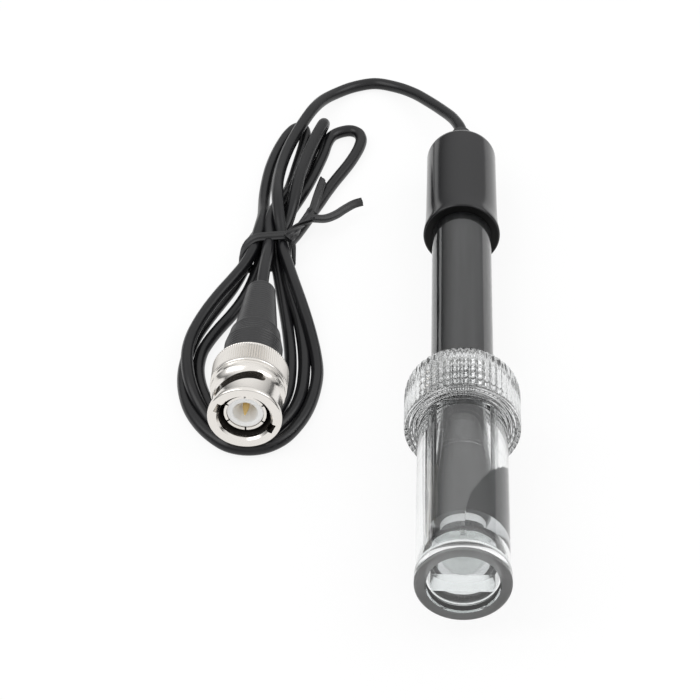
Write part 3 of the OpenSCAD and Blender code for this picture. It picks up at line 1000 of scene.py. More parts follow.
@dataclass
class Cable:
    """The thin cable: lead, three turns gathered by the tie, and the tail to the plug."""

    diameter: float = 2.5
    gland_end: Point = (0.0, 69.828, 6.736)
    lead: tuple[Point, ...] = (
        (-0.4, 73.0, 6.6), (-1.8, 77.0, 5.8), (-4.1, 81.2, 4.8), (-7.0, 85.6, 3.8), (-10.4, 90.0, 2.8),
        (-14.4, 93.4, 1.9), (-19.0, 95.2, 1.4), (-23.6, 93.8, 1.4), (-27.4, 90.6, 1.9),
        (-30.2, 86.6, 2.9), (-32.2, 82.0, 3.8), (-33.9, 77.6, 3.9), (-35.4, 73.0, 4.0),
        (-36.7, 68.4, 4.0), (-37.7, 63.6, 4.1), (-38.3, 58.6, 4.6), (-38.5, 53.4, 5.6),
        (-38.3, 48.4, 6.3), (-37.8, 43.4, 5.6), (-36.9, 37.7, 4.0),
    )
    first_turn: tuple[Point, ...] = (
        (-36.4, 33.4, 4.0), (-35.3, 28.8, 4.0), (-34.0, 24.0, 3.9), (-32.6, 19.2, 3.6),
        (-31.2, 14.4, 3.0), (-29.9, 9.4, 2.3), (-28.8, 4.2, 1.6), (-28.2, -1.0, 1.3),
        (-28.5, -6.2, 1.3), (-29.6, -11.6, 1.3), (-31.4, -16.2, 1.3), (-34.0, -20.2, 1.3),
        (-37.4, -22.6, 1.3), (-41.0, -23.25, 1.3), (-44.6, -22.35, 1.3), (-47.8, -19.8, 1.3),
        (-50.4, -16.5, 1.3), (-52.6, -12.2, 1.3), (-53.9, -7.4, 1.3), (-54.4, -2.2, 1.3),
        (-54.0, 3.2, 1.3), (-52.8, 8.6, 1.3), (-50.8, 14.0, 1.3), (-48.5, 19.2, 1.3),
        (-46.4, 24.0, 1.3), (-44.8, 28.8, 1.4), (-43.7, 33.4, 1.6), (-43.2, 37.7, 1.85),
    )
    middle_bight: tuple[Point, ...] = (
        (-42.2, 41.2, 1.5), (-40.4, 44.8, 1.3), (-38.2, 48.4, 1.6), (-36.2, 52.6, 2.5),
        (-34.7, 57.0, 3.2), (-33.4, 61.6, 3.1), (-32.6, 66.0, 2.4), (-31.9, 70.2, 1.6),
        (-31.2, 73.6, 1.5), (-30.3, 76.0, 2.2), (-29.6, 76.8, 3.6), (-29.7, 75.4, 4.8),
        (-30.4, 72.6, 5.3), (-31.3, 69.2, 5.5), (-32.2, 65.4, 5.6), (-33.1, 61.2, 5.6),
        (-33.9, 56.8, 5.6), (-34.5, 52.2, 5.3), (-35.1, 47.4, 4.6), (-36.2, 42.6, 3.2),
        (-38.1, 37.7, 1.85),
    )
    inner_turn: tuple[Point, ...] = (
        (-37.9, 33.4, 1.6), (-37.2, 28.6, 1.4), (-36.4, 23.6, 1.3), (-35.6, 18.6, 1.3),
        (-34.8, 13.4, 1.3), (-34.1, 8.0, 1.3), (-33.6, 2.6, 1.3), (-33.5, -2.6, 1.3),
        (-33.9, -7.4, 1.3), (-35.2, -12.0, 1.3), (-37.6, -16.35, 1.25), (-41.0, -18.2, 1.25),
        (-44.4, -17.25, 1.25), (-47.2, -14.0, 1.3), (-49.3, -9.8, 1.3), (-50.9, -5.2, 1.3),
        (-51.6, -0.4, 1.3), (-51.2, 4.2, 1.3), (-49.9, 8.0, 1.3), (-48.2, 11.6, 1.3),
        (-46.2, 15.4, 1.3), (-44.4, 19.4, 1.3), (-42.9, 24.0, 1.3), (-41.8, 28.8, 1.4),
        (-41.0, 33.4, 1.6), (-40.7, 37.7, 1.85),
    )
    right_bight: tuple[Point, ...] = (
        (-39.6, 41.4, 1.5), (-37.9, 45.0, 1.3), (-36.0, 48.6, 1.3), (-34.5, 52.4, 1.3),
        (-33.0, 56.6, 1.3), (-31.7, 60.8, 1.3), (-30.5, 65.2, 1.3), (-29.5, 69.4, 1.3),
        (-28.8, 73.2, 1.3), (-27.8, 75.8, 1.3), (-25.9, 77.3, 1.3), (-23.8, 77.8, 1.3),
        (-22.2, 76.9, 1.3), (-21.5, 74.8, 1.3), (-21.8, 72.2, 1.3), (-22.6, 69.4, 1.3),
        (-23.8, 66.2, 1.3), (-25.3, 62.9, 1.3), (-26.8, 59.7, 1.3), (-28.3, 56.2, 1.3),
        (-29.7, 52.6, 1.3), (-31.1, 49.2, 1.3), (-32.5, 45.6, 1.3), (-34.0, 41.8, 1.5),
        (-35.6, 37.7, 1.85),
    )
    middle_turn: tuple[Point, ...] = (
        (-36.1, 33.4, 1.7), (-35.8, 28.8, 2.0), (-35.0, 24.0, 2.2), (-33.8, 19.4, 2.0),
        (-32.5, 14.4, 1.5), (-31.6, 9.2, 1.3), (-31.0, 3.8, 1.3), (-30.8, -1.6, 1.3),
        (-31.1, -6.8, 1.3), (-32.2, -11.6, 1.3), (-34.4, -16.0, 1.3), (-37.4, -19.5, 1.3),
        (-41.0, -20.75, 1.3), (-44.6, -19.75, 1.3), (-47.5, -16.8, 1.4), (-49.9, -13.2, 1.9),
        (-51.7, -9.6, 2.7), (-52.9, -6.0, 3.4), (-53.6, -2.2, 3.8), (-53.8, 1.6, 3.9),
        (-53.4, 5.6, 3.9), (-52.3, 10.0, 3.9), (-50.6, 14.7, 3.9), (-48.5, 19.4, 3.9),
        (-46.1, 24.1, 3.9), (-44.0, 28.6, 3.9), (-42.6, 33.2, 4.0), (-42.0, 37.7, 4.0),
    )
    left_bight: tuple[Point, ...] = (
        (-41.5, 41.4, 3.9), (-41.2, 45.2, 3.2), (-41.3, 49.4, 2.1), (-41.4, 53.6, 1.4),
        (-41.2, 58.4, 1.3), (-40.7, 63.4, 1.3), (-39.8, 68.2, 1.3), (-38.6, 72.6, 1.3),
        (-37.2, 76.2, 1.3), (-35.7, 78.3, 1.3), (-34.4, 78.5, 1.3), (-33.7, 76.6, 1.3),
        (-33.7, 73.8, 1.3), (-34.1, 70.2, 1.3), (-34.8, 65.6, 1.3), (-35.5, 61.0, 1.3),
        (-36.2, 56.4, 1.8), (-37.0, 52.4, 2.9), (-38.2, 48.6, 3.8), (-39.3, 45.0, 4.0),
        (-39.7, 41.4, 4.0), (-39.5, 37.7, 4.1),
    )
    tail: tuple[Point, ...] = (
        (-39.5, 33.6, 4.9), (-39.5, 29.4, 6.1), (-39.65, 25.2, 6.95), (-39.8, 21.0, 7.5),
        (-39.954, 15.83, 7.907),
    )

    def route(self) -> list[Vector]:
        """Gives the cable's whole centre line.

        Returns:
            The line's points in millimetres, from the gland to the boot.
        """
        start = Vector(self.gland_end)
        along = (ELECTRODE.to_3x3() @ Vector((0, 0, 1))).normalized()
        stretches = (
            self.lead, self.first_turn, self.middle_bight, self.inner_turn,
            self.right_bight, self.middle_turn, self.left_bight, self.tail,
        )
        points = [tuple(start), tuple(start + 1.5 * along)]
        for stretch in stretches:
            points.extend(stretch)
        return smooth_route(points, 6)

    def build(self, tie: bpy.types.Object) -> None:
        """Args:
            tie: the twist tie, which lies on the cable.
        """
        line = [p * MM for p in self.route()]
        data = bpy.data.curves.new("cable", "CURVE")
        data.dimensions = "3D"
        data.bevel_depth = self.diameter / 2 * MM
        data.bevel_resolution = 6
        data.use_fill_caps = True
        spline = data.splines.new("POLY")
        spline.points.add(len(line) - 1)
        for point, at in zip(spline.points, line):
            point.co = (*at, 1.0)
        spline.use_smooth = True
        cable = bpy.data.objects.new("cable", data)
        data.materials.append(JACKET.material())
        bpy.context.scene.collection.objects.link(cable)
        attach(cable, Body.ELECTRODE.value)
        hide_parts("cable_lead", "cable_hank", "cable_tail")
        going = [tie] + [thing for thing in bpy.data.objects if thing.name.startswith("plug_")]
        ends = ("cable_gland", "crimp_ferrule", "cable_end_plug", "bnc_retainer")
        going += [frame["nodes"][node] for node in ends]


@dataclass
class TwistTie:
    """The flat tie: a band round the gathered strands, a twist and two loose ends."""

    width: float = 1.9
    narrow: float = 1.8
    thickness: float = 0.35
    wire_r: float = 0.42
    wire_top: float = 0.28
    wire_foot: float = 0.55
    low: float = 0.65
    high: float = 5.8
    left: float = -45.1
    right: float = -34.3
    front: float = 30.4
    lean_up: float = 0.75
    lean_right: float = 0.14
    neck: tuple[Point, ...] = (
        (-35.6, 35.0, 5.7), (-34.6, 36.4, 6.0), (-33.4, 38.6, 5.7),
        (-32.3, 41.0, 5.2), (-31.5, 43.2, 4.8), (-30.9, 45.4, 4.6),
    )
    straight_end: tuple[Point, ...] = (
        (-30.9, 45.2, 4.6), (-30.5, 48.0, 4.3), (-30.1, 51.2, 4.0), (-29.6, 54.6, 3.7), (-29.1, 57.4, 3.6),
    )
    bent_end: tuple[Point, ...] = (
        (-31.8, 42.8, 4.9), (-30.0, 43.3, 4.4), (-28.2, 44.0, 3.9), (-26.2, 45.7, 3.5),
        (-24.2, 48.2, 3.2), (-22.3, 50.2, 3.0), (-20.7, 51.0, 3.0),
    )

    def section(self, wide: float) -> list[tuple[float, float]]:
        """Gives the flat section with the wire's swelling in its middle.

        Args:
            wide: the ribbon's width.

        Returns:
            The outline, across and up.
        """
        half, flat = wide / 2, self.thickness / 2
        under = [(-half, -flat), (-self.wire_foot, -flat), (-self.wire_top, -self.wire_r)]
        under += [(-across, up) for across, up in reversed(under)]
        return under + [(-across, -up) for across, up in under]

    def band(self) -> bpy.types.Mesh:
        """Makes the closed band round the strands, leaning with its lower side to the front.

        Returns:
            The mesh, in millimetres.
        """
        line: list[Vector] = []
        steps = 10
        for side, level, round_r, start in (
            (self.right, self.high, 2.4, 0),
            (self.left, self.high, 3.9, 90),
            (self.left, self.low, 1.2, 180),
            (self.right, self.low, 1.2, 270),
        ):
            centre_x = side - round_r if side == self.right else side + round_r
            centre_z = level - round_r if level == self.high else level + round_r
            for i in range(steps):
                a = math.radians(start + 90 / (steps - 1) * i)
                x, z = centre_x + round_r * math.cos(a), centre_z + round_r * math.sin(a)
                y = self.front + self.lean_up * z + self.lean_right * (x - self.left)
                line.append(Vector((x, y, z)))
        return sweep(line, lambda s: self.section(self.width), lambda s, h: Vector((0, 1, 0.35)), closed=True)

    def strand(self, points: Sequence[Point], turns: float, start: float, wide: float) -> bpy.types.Mesh:
        """Makes one open stretch of ribbon that may twist.

        Args:
            points: the stretch's points.
            turns: how many full turns it twists.
            start: the angle at which it starts, in degrees.
            wide: the ribbon's width.

        Returns:
            The mesh.
        """

        def side(share: float, heading: Vector) -> Vector:
            """Turns the across direction along the way."""
            flat = heading.cross(Vector((0, 0, 1))).normalized()
            return Matrix.Rotation(math.radians(start + 360 * turns * share), 3, heading) @ flat

        return sweep(smooth_route(points, 10), lambda s: self.section(wide), side)

    def build(self) -> bpy.types.Object:
        """Makes the tie: the band, two twisted stretches and two ends.

        Returns:
            The tie's one piece.
        """
        stretches = [
            self.band(),
            self.strand(self.neck, 0.6, 0.0, self.width + 0.5),
            self.strand(self.neck, 0.6, 45.0, self.width + 0.2),
            self.strand(self.straight_end, 0.1, 20.0, self.width),
            self.strand(self.bent_end, 0.1, 15.0, self.narrow),
        ]
        return add_piece("twist_tie_band", join_meshes(stretches), TIE, "twist_tie", place=GROUND)


@dataclass
class Plug:
    """The bayonet plug: coupling, body, insulator, pin, gasket, spring and boot."""

    collar_r: float = 7.1
    waist_r: float = 6.5
    grip_r: float = 7.4
    mouth_r: float = 5.0
    web_r: float = 4.4
    web_low: float = 9.9
    web_high: float = 11.5
    grip_low: float = 9.2
    grip_len: float = 4.6
    rear: float = 14.2
    knurls: int = 96
    knurl_depth: float = 0.22
    slot_half: float = 1.05
    slot_r: float = 6.0
    slot_low: float = 3.5
    slot_rise: float = 2.0
    slot_start: float = -156.0
    slot_turn: float = 90.0
    key_angle: float = 24.0
    sleeve_r: float = 4.05
    sleeve_bore_r: float = 3.55
    sleeve_slots: int = 6
    sleeve_slot_w: float = 0.35
    sleeve_slot_end: float = 5.8
    flange_r: float = 4.7
    spigot_r: float = 4.33
    stem_r: float = 2.3
    pin_r: float = 0.68
    boot_r: float = 5.7
    boot_step_r: float = 5.0
    boot_neck_r: float = 4.4
    boot_tip_r: float = 2.9
    boot_step: float = 25.5
    boot_top: float = 40.0
    ring_pitch: float = 0.75

    def coupling_outline(self) -> Profile:
        """Gives the coupling's outline: mouth, collar, waist, shoulder, grip and stepped bore.

        Returns:
            The outline, from the mouth round the outside to the bore.
        """
        edge, bead, round_r, shoulder = 0.35, 0.25, 0.3, 1.9
        waist_end, steps = 6.0, 12
        outline: Profile = [(self.mouth_r, 0.45), (self.mouth_r + edge, 0.0), (self.collar_r - edge, 0.0)]
        outline += arc((self.collar_r - edge, edge), edge, -90, 0, 4)
        outline += arc((self.collar_r - bead, 0.85), bead, 0, 90, 4)
        outline += arc((self.waist_r + round_r, 1.4), round_r, -90, -180, 4) + [(self.waist_r, waist_end)]
        outline += arc((self.waist_r + shoulder, waist_end), shoulder, 180, 131, 8)
        outline += arc((self.collar_r - 0.1, 8.0), 0.15, -20, 90, 4) + [(6.95, 8.2), (6.95, 8.5), (7.15, 8.7)]
        outline += arc((self.grip_r - round_r, 9.1), round_r, -90, 0, 4)
        outline += [(self.grip_r, self.grip_low + self.grip_len * i / steps) for i in range(steps + 1)]
        outline += arc((self.grip_r - round_r, 13.9), round_r, 0, 90, 4)
        outline += [(6.4, self.rear), (6.2, 14.0), (6.2, self.web_high), (self.web_r, self.web_high)]
        return outline + [(self.web_r, self.web_low), (self.mouth_r, self.web_low)]

    def coupling(self, ridges: RippleGroup) -> None:
        """Makes the coupling with its knurl, its bayonet slots, and thin dark sheets of painted shade in its
        bore and key ways.

        Args:
            ridges: the group that raises the knurl.
        """
        turned = lathe(self.coupling_outline(), self.knurls * 6)
        for turn in (0.0, 180.0):
            turned = cut_mesh(turned, self.slot_cutter(turn))
        band = (9.3, 13.85)
        knurled = ridges.raised(
            turned, NICKEL, self.knurl_depth, band, round_count=self.knurls, fade=0.12, least_radius=7.25
        )
        add_piece("plug_coupling", knurled, NICKEL, "bnc_coupling", Body.COUPLING, PLUG, 28)
        half = math.degrees(self.slot_half / self.slot_r)

        def in_key(angle: float, station: float) -> bool:
            """Says whether an angle lies in one of the two key ways."""
            return abs((angle - self.key_angle + 90.0) % 180.0 - 90.0) < half

        # Thin dark sheets in the key ways and along the bore are painted shade.
        key_shade_sheet = slotted_wall(5.9, 5.97, [0.35, 2.0, 4.4], 360, in_key)
        add_piece("plug_key_shade", key_shade_sheet, SHADE, body=Body.COUPLING, place=PLUG)
        outer, inner = self.mouth_r - 0.02, self.mouth_r - 0.1
        low, high = 1.0, 9.8
        bore_shade_sheet = lathe([(inner, low), (outer, low), (outer, high), (inner, high)], self.knurls * 2)
        add_piece("plug_coupling_shade", bore_shade_sheet, SHADE, body=Body.COUPLING, place=PLUG)

    def slot_rows(self) -> list[tuple[float, float, float]]:
        """Gives the rows of a slot: a round end, the rise and the other round end.

        Returns:
            Each row's angle in degrees and its lower and upper station.
        """
        half = self.slot_half
        end_angle = math.degrees(half / self.slot_r)
        low, top = self.slot_low, self.slot_low + self.slot_rise
        last_angle = self.slot_start + self.slot_turn
        rounds, count = 8, 48
        rows: list[tuple[float, float, float]] = []
        for i in range(rounds + 1):
            a = math.radians(-90 + 90 * i / rounds)
            reach = half * math.cos(a)
            rows.append((self.slot_start + end_angle * math.sin(a), low - reach, low + reach))
        for i in range(1, count):
            share = i / count
            centre = low + self.slot_rise * (3 * share**2 - 2 * share**3)
            rows.append((self.slot_start + self.slot_turn * share, centre - half, centre + half))
        for i in range(rounds + 1):
            a = math.radians(90 * i / rounds)
            reach = half * math.cos(a)
            rows.append((last_angle + end_angle * math.sin(a), top - reach, top + reach))
        return rows

    def slot_cutter(self, turn: float) -> bpy.types.Mesh:
        """Makes the cutter of one bayonet slot: a key way and a rising slot with round ends.

        Args:
            turn: the slot's turn round the plug, in degrees.

        Returns:
            The cutter, in millimetres.
        """
        inner, outer = 4.2, 9.0
        slot = bmesh.new()
        rings: list[list[bmesh.types.BMVert]] = []
        for angle, lower, upper in self.slot_rows():
            a = math.radians(angle + turn)
            upper = max(upper, lower + 0.01)
            corners = ((inner, lower), (outer, lower), (outer, upper), (inner, upper))
            rings.append([slot.verts.new((r * math.cos(a), r * math.sin(a), z)) for r, z in corners])
        cover_rings(slot, rings)
        key = bmesh.new()
        bmesh.ops.create_cube(key, size=1.0)
        key_inner, key_depth, key_foot = 4.0, 2.0, -1.0
        for vertex in key.verts:
            out, across, up = vertex.co
            vertex.co.x = key_inner + (out + 0.5) * key_depth
            vertex.co.y = across * 2 * self.slot_half
            vertex.co.z = key_foot + (up + 0.5) * (self.slot_low - key_foot)
        way = Matrix.Rotation(math.radians(self.slot_start + turn), 3, "Z")
        bmesh.ops.rotate(key, verts=key.verts, cent=(0, 0, 0), matrix=way)
        return cut_mesh(finished_mesh(slot), finished_mesh(key), "UNION")

    def body(self) -> None:
        """Makes the slotted contact sleeve and the plug body behind it."""
        pitch = 360.0 / self.sleeve_slots
        half = math.degrees(self.sleeve_slot_w / self.sleeve_r) / 2

        def solid(angle: float, station: float) -> bool:
            """Says whether the sleeve's wall is there."""
            off = angle % pitch - pitch / 2
            return station > self.sleeve_slot_end or abs(off) > half

        stations = [1.6, 1.75, 3.0, self.sleeve_slot_end, 6.4]
        sleeve = slotted_wall(self.sleeve_bore_r, self.sleeve_r, stations, 720, solid)
        outline: Profile = [(self.sleeve_bore_r, 6.4), (3.85, 6.4), (3.85, 7.2)]
        outline += [(self.flange_r, 7.2), (self.flange_r, 8.2)]
        outline += [(self.spigot_r, 8.2), (self.spigot_r, 11.5), (4.05, 11.5), (4.05, 12.2)]
        outline += [(self.spigot_r, 12.2), (self.spigot_r, 14.9), (5.2, 14.9), (5.2, 16.4)]
        outline += [(self.stem_r, 16.4), (self.stem_r, 26.0), (1.35, 26.0), (1.35, 13.0)]
        outline += [(1.5, 13.0), (1.5, 9.0), (self.sleeve_bore_r, 9.0)]
        mesh = join_meshes([sleeve, lathe(outline)])
        add_piece("plug_body", mesh, NICKEL, "bnc_body", place=PLUG, sharp=30)

    def inside(self) -> None:
        """Makes the insulator with its mouth, the pin, the gasket and the wave spring."""
        bore, rear = 0.70, 9.0
        outline: Profile = [(bore, 5.2), (1.3, 5.2), (2.35, 1.95)] + arc((2.6, 2.0), 0.2, 180, 270, 4)
        outline += [(3.3, 1.8)] + arc((3.33, 2.0), 0.2, -90, 0, 4) + [(3.53, rear), (bore, rear)]
        add_piece("plug_insulator", lathe(outline), INSULATOR, "bnc_insulator", place=PLUG)
        tip: Profile = [(0.0, 1.15)] + arc((0.0, 1.35), 0.2, -60, -20, 3) + [(0.62, 3.2), (self.pin_r, 3.5)]
        tip += [(self.pin_r, 9.2), (1.0, 9.2), (1.0, 13.0), (0.75, 13.0), (0.75, 10.2), (0.0, 10.2)]
        add_piece("plug_pin", lathe(tip, 64, close=False), GOLD, "bnc_pin", place=PLUG, sharp=30)
        ring: Profile = []
        edge = 0.08
        for r, z, start in ((4.62, 6.52, -90), (4.62, 7.08, 0), (3.95, 7.08, 90), (3.95, 6.52, 180)):
            ring += arc((r, z), edge, start, start + 90, 3)
        add_piece("plug_gasket", lathe(ring), GASKET, "bnc_gasket", place=PLUG)
        spring_r, waves, swing = 4.84, 3, 0.35
        wavy = lathe([(self.web_r, 9.28), (spring_r, 9.28), (spring_r, 9.5), (self.web_r, 9.5)], 96)
        for vertex in wavy.vertices:
            vertex.co.z += swing * math.sin(waves * math.atan2(vertex.co.y, vertex.co.x))
        add_piece("plug_spring", wavy, SPRING, "bnc_spring", Body.THRUST, PLUG)

    def boot(self, ridges: RippleGroup) -> None:
        """Makes the boot with its step and its fine rings.

        Args:
            ridges: the group that raises the rings.
        """
        foot, wide_len, bore, room_r = 15.0, 6.0, 1.27, 2.92
        outline: Profile = [(5.22, 14.7)] + arc((5.4, foot), 0.3, -90, 0, 4)
        outline += self._slope((self.boot_r, foot), (self.boot_r, foot + wide_len), 40)
        outline += self._slope((self.boot_r, foot + wide_len), (self.boot_step_r, 24.6), 24)
        outline += arc((4.5, 24.9), 0.5, 0, 90, 5) + [(self.boot_neck_r, self.boot_step)]
        outline += self._slope((self.boot_neck_r, self.boot_step), (self.boot_tip_r, 39.3), 92)
        outline += arc((self.boot_tip_r - 0.7, 39.3), 0.7, 0, 90, 6)
        outline += [(bore, self.boot_top), (bore, 26.5), (room_r, 26.5), (room_r, 16.42), (5.22, 16.42)]
        plain = lathe(outline, 96)
        lower = ridges.raised(
            plain, BOOT, 0.1, (15.3, 24.6), pitch=self.ring_pitch, fade=0.3, least_radius=4.6
        )
        ringed = ridges.raised(
            lower, BOOT, 0.035, (25.6, 39.2), pitch=self.ring_pitch, fade=0.3, least_radius=2.6
        )
        add_piece("plug_boot", ringed, BOOT, "bnc_boot", place=PLUG, sharp=32)

    @staticmethod
    def _slope(start: tuple[float, float], end: tuple[float, float], steps: int) -> Profile:
        """Gives the points of a straight flank after its first, close enough to carry rings."""
        rise, climb = end[0] - start[0], end[1] - start[1]
        return [(start[0] + rise * i / steps, start[1] + climb * i / steps) for i in range(1, steps + 1)]

    def build(self, ridges: RippleGroup) -> None:
        """Makes all pieces of the plug.

        Args:
            ridges: the group that raises knurl and rings.
        """
        self.coupling(ridges)
        self.body()
        self.inside()
        self.boot(ridges)


@dataclass
class Electrode:
    """The electrode's tube with what shows through it, and its cap."""

    body_r: float = 6.0
    bore_r: float = 5.0
    tip: float = 7.5
    tube_top: float = 112.0
    stem_r: float = 2.0
    stem_bore_r: float = 1.4
    stem_top: float = 108.0
    bulb_z: float = 10.5
    bulb_r: float = 4.5
    bulb_wall: float = 0.5
    buffer_top: float = 62.0
    wire_room_r: float = 0.42
    seal_low: float = 12.45
    seal_high: float = 20.0
    gel_high: float = 104.4
    lip_z: float = 103.0
    lip_r: float = 7.45
    cap_bore_r: float = 6.03
    cap_room_r: float = 6.4
    cap_room_top: float = 128.9
    cap_top: float = 132.5
    gland_room_r: float = 2.15

    def tube(self) -> None:
        """Makes the smoke-grey body tube with its rounded end and its wet faces."""
        edge = 0.25
        wetting = Wetting()
        foot = self.tip + edge
        outline: Profile = arc((self.body_r - edge, foot), edge, -90, 0, 4)
        outline += [(self.body_r, station) for station in wetting.stations() if station > foot]
        outline += [(self.body_r, 60.0 + 10.0 * i) for i in range(6)]
        outline += [(self.body_r, self.tube_top), (self.bore_r, self.tube_top)]
        outline += [(self.bore_r, 102.0 - 4.5 * i) for i in range(21)]
        outline += arc((self.bore_r + edge, foot), edge, 180, 270, 4)
        tube = lathe(outline, FINE_TURN)
        tube.materials.append(SMOKE.material())
        wetting.dress(tube, self.body_r, WET_SMOKE)
        add_piece("electrode_tube", tube, SMOKE, "body_tube", sharp=30)

    def stem(self) -> None:
        """Makes the glass stem with its blown bulb."""
        neck = 15.1
        outline: Profile = arc((0.0, self.bulb_z), self.bulb_r, -90, 62, 30)
        outline += [(self.stem_r, neck), (self.stem_r, self.stem_top)]
        outline += [(self.stem_bore_r, self.stem_top), (self.stem_bore_r, neck)]
        outline += arc((0.0, self.bulb_z), self.bulb_r - self.bulb_wall, 65, -90, 30)
        add_piece("electrode_stem", lathe(outline, 96, close=False), GLASS, "glass_electrode")

    def buffer(self) -> None:
        """Makes the solution that fills the bulb and the stem's bore round the wire."""
        into_wall = 0.02
        reach, bore = self.bulb_r - self.bulb_wall + into_wall, self.stem_bore_r + into_wall
        outline: Profile = arc((0.0, self.bulb_z), reach, -90, 68, 24)
        outline += [(bore, 15.4), (bore, self.buffer_top)]
        outline += [(self.wire_room_r, self.buffer_top), (self.wire_room_r, self.bulb_z), (0.0, self.bulb_z)]
        add_piece("electrode_buffer", lathe(outline, 96, close=False), LIQUID, "inner_buffer")

    def gel(self) -> None:
        """Makes the dark gel and the resin under it, which wet the tube's bore, and the bulb's cup, a thin
        white sheet whose glow is painted light.
        """
        wet, inner, middle = self.bore_r + 0.03, self.stem_r, 60.0
        outline: Profile = [(inner, self.seal_high), (wet, self.seal_high), (wet, middle)]
        outline += [(wet, self.gel_high), (inner, self.gel_high), (inner, middle)]
        add_piece("electrode_gel", lathe(outline, 144), GEL, "reference_gel")
        hollow = arc((0.0, self.bulb_z), self.bulb_r + 0.1, 62, 25, 8)
        resin = [(wet, self.seal_low), (wet, self.seal_high), (inner + 0.02, self.seal_high)]
        add_piece("electrode_tip_seal", lathe(resin + hollow, 144), TIP_RESIN, "tip_seal")
        # The bulb's cup: a thin white sheet whose glow is painted light seen through the bulb.
        face = arc((0.0, self.bulb_z), self.bulb_r + 0.02, -4, 50, 12)
        back = [(radius + 0.06, station + 0.05) for radius, station in reversed(face)]
        add_piece("electrode_bulb_cup", lathe(face + back, 96), PAINTED_GLOW_SHEET)

    def cap(self) -> None:
        """Makes the glossy cable cap with its flared lip, and under the lip a thin ring of painted shade that
        reflects less than the cap.
        """
        # A thin ring under the lip: painted shade that reflects less than the cap.
        face_r, face_h = 6.02, 0.1
        face = [(face_r, self.lip_z), (self.lip_r, self.lip_z)]
        face += [(self.lip_r, self.lip_z + face_h), (face_r, self.lip_z + face_h)]
        add_piece("electrode_cap_lip", lathe(face), LIP_SHADE)
        foot, edge, shoulder = self.lip_z + 0.12, 0.35, 2.5
        outline: Profile = [(self.cap_bore_r, foot), (self.lip_r, foot), (7.46, 103.04)]
        outline += arc((self.lip_r, 103.38), edge, -75, 0, 5)
        outline += [(7.74, 104.1), (7.56, 105.4), (7.42, 106.8), (7.34, 108.6)]
        outline += [(7.28, self.tube_top), (7.22, 124.0)]
        outline += arc((4.7, self.cap_top - shoulder), shoulder, 0, 90, 10)
        outline += [(self.gland_room_r, self.cap_top), (self.gland_room_r, self.cap_room_top)]
        outline += [(self.cap_room_r, self.cap_room_top), (self.cap_room_r, self.tube_top)]
        outline += [(self.cap_bore_r, self.tube_top)]
        add_piece("electrode_cap", lathe(outline), GLOSS_BLACK, "cable_cap", sharp=35)

    def build(self) -> None:
        """Makes all pieces of the electrode."""
        self.tube()
        self.stem()
        self.buffer()
        self.gel()
        self.cap()


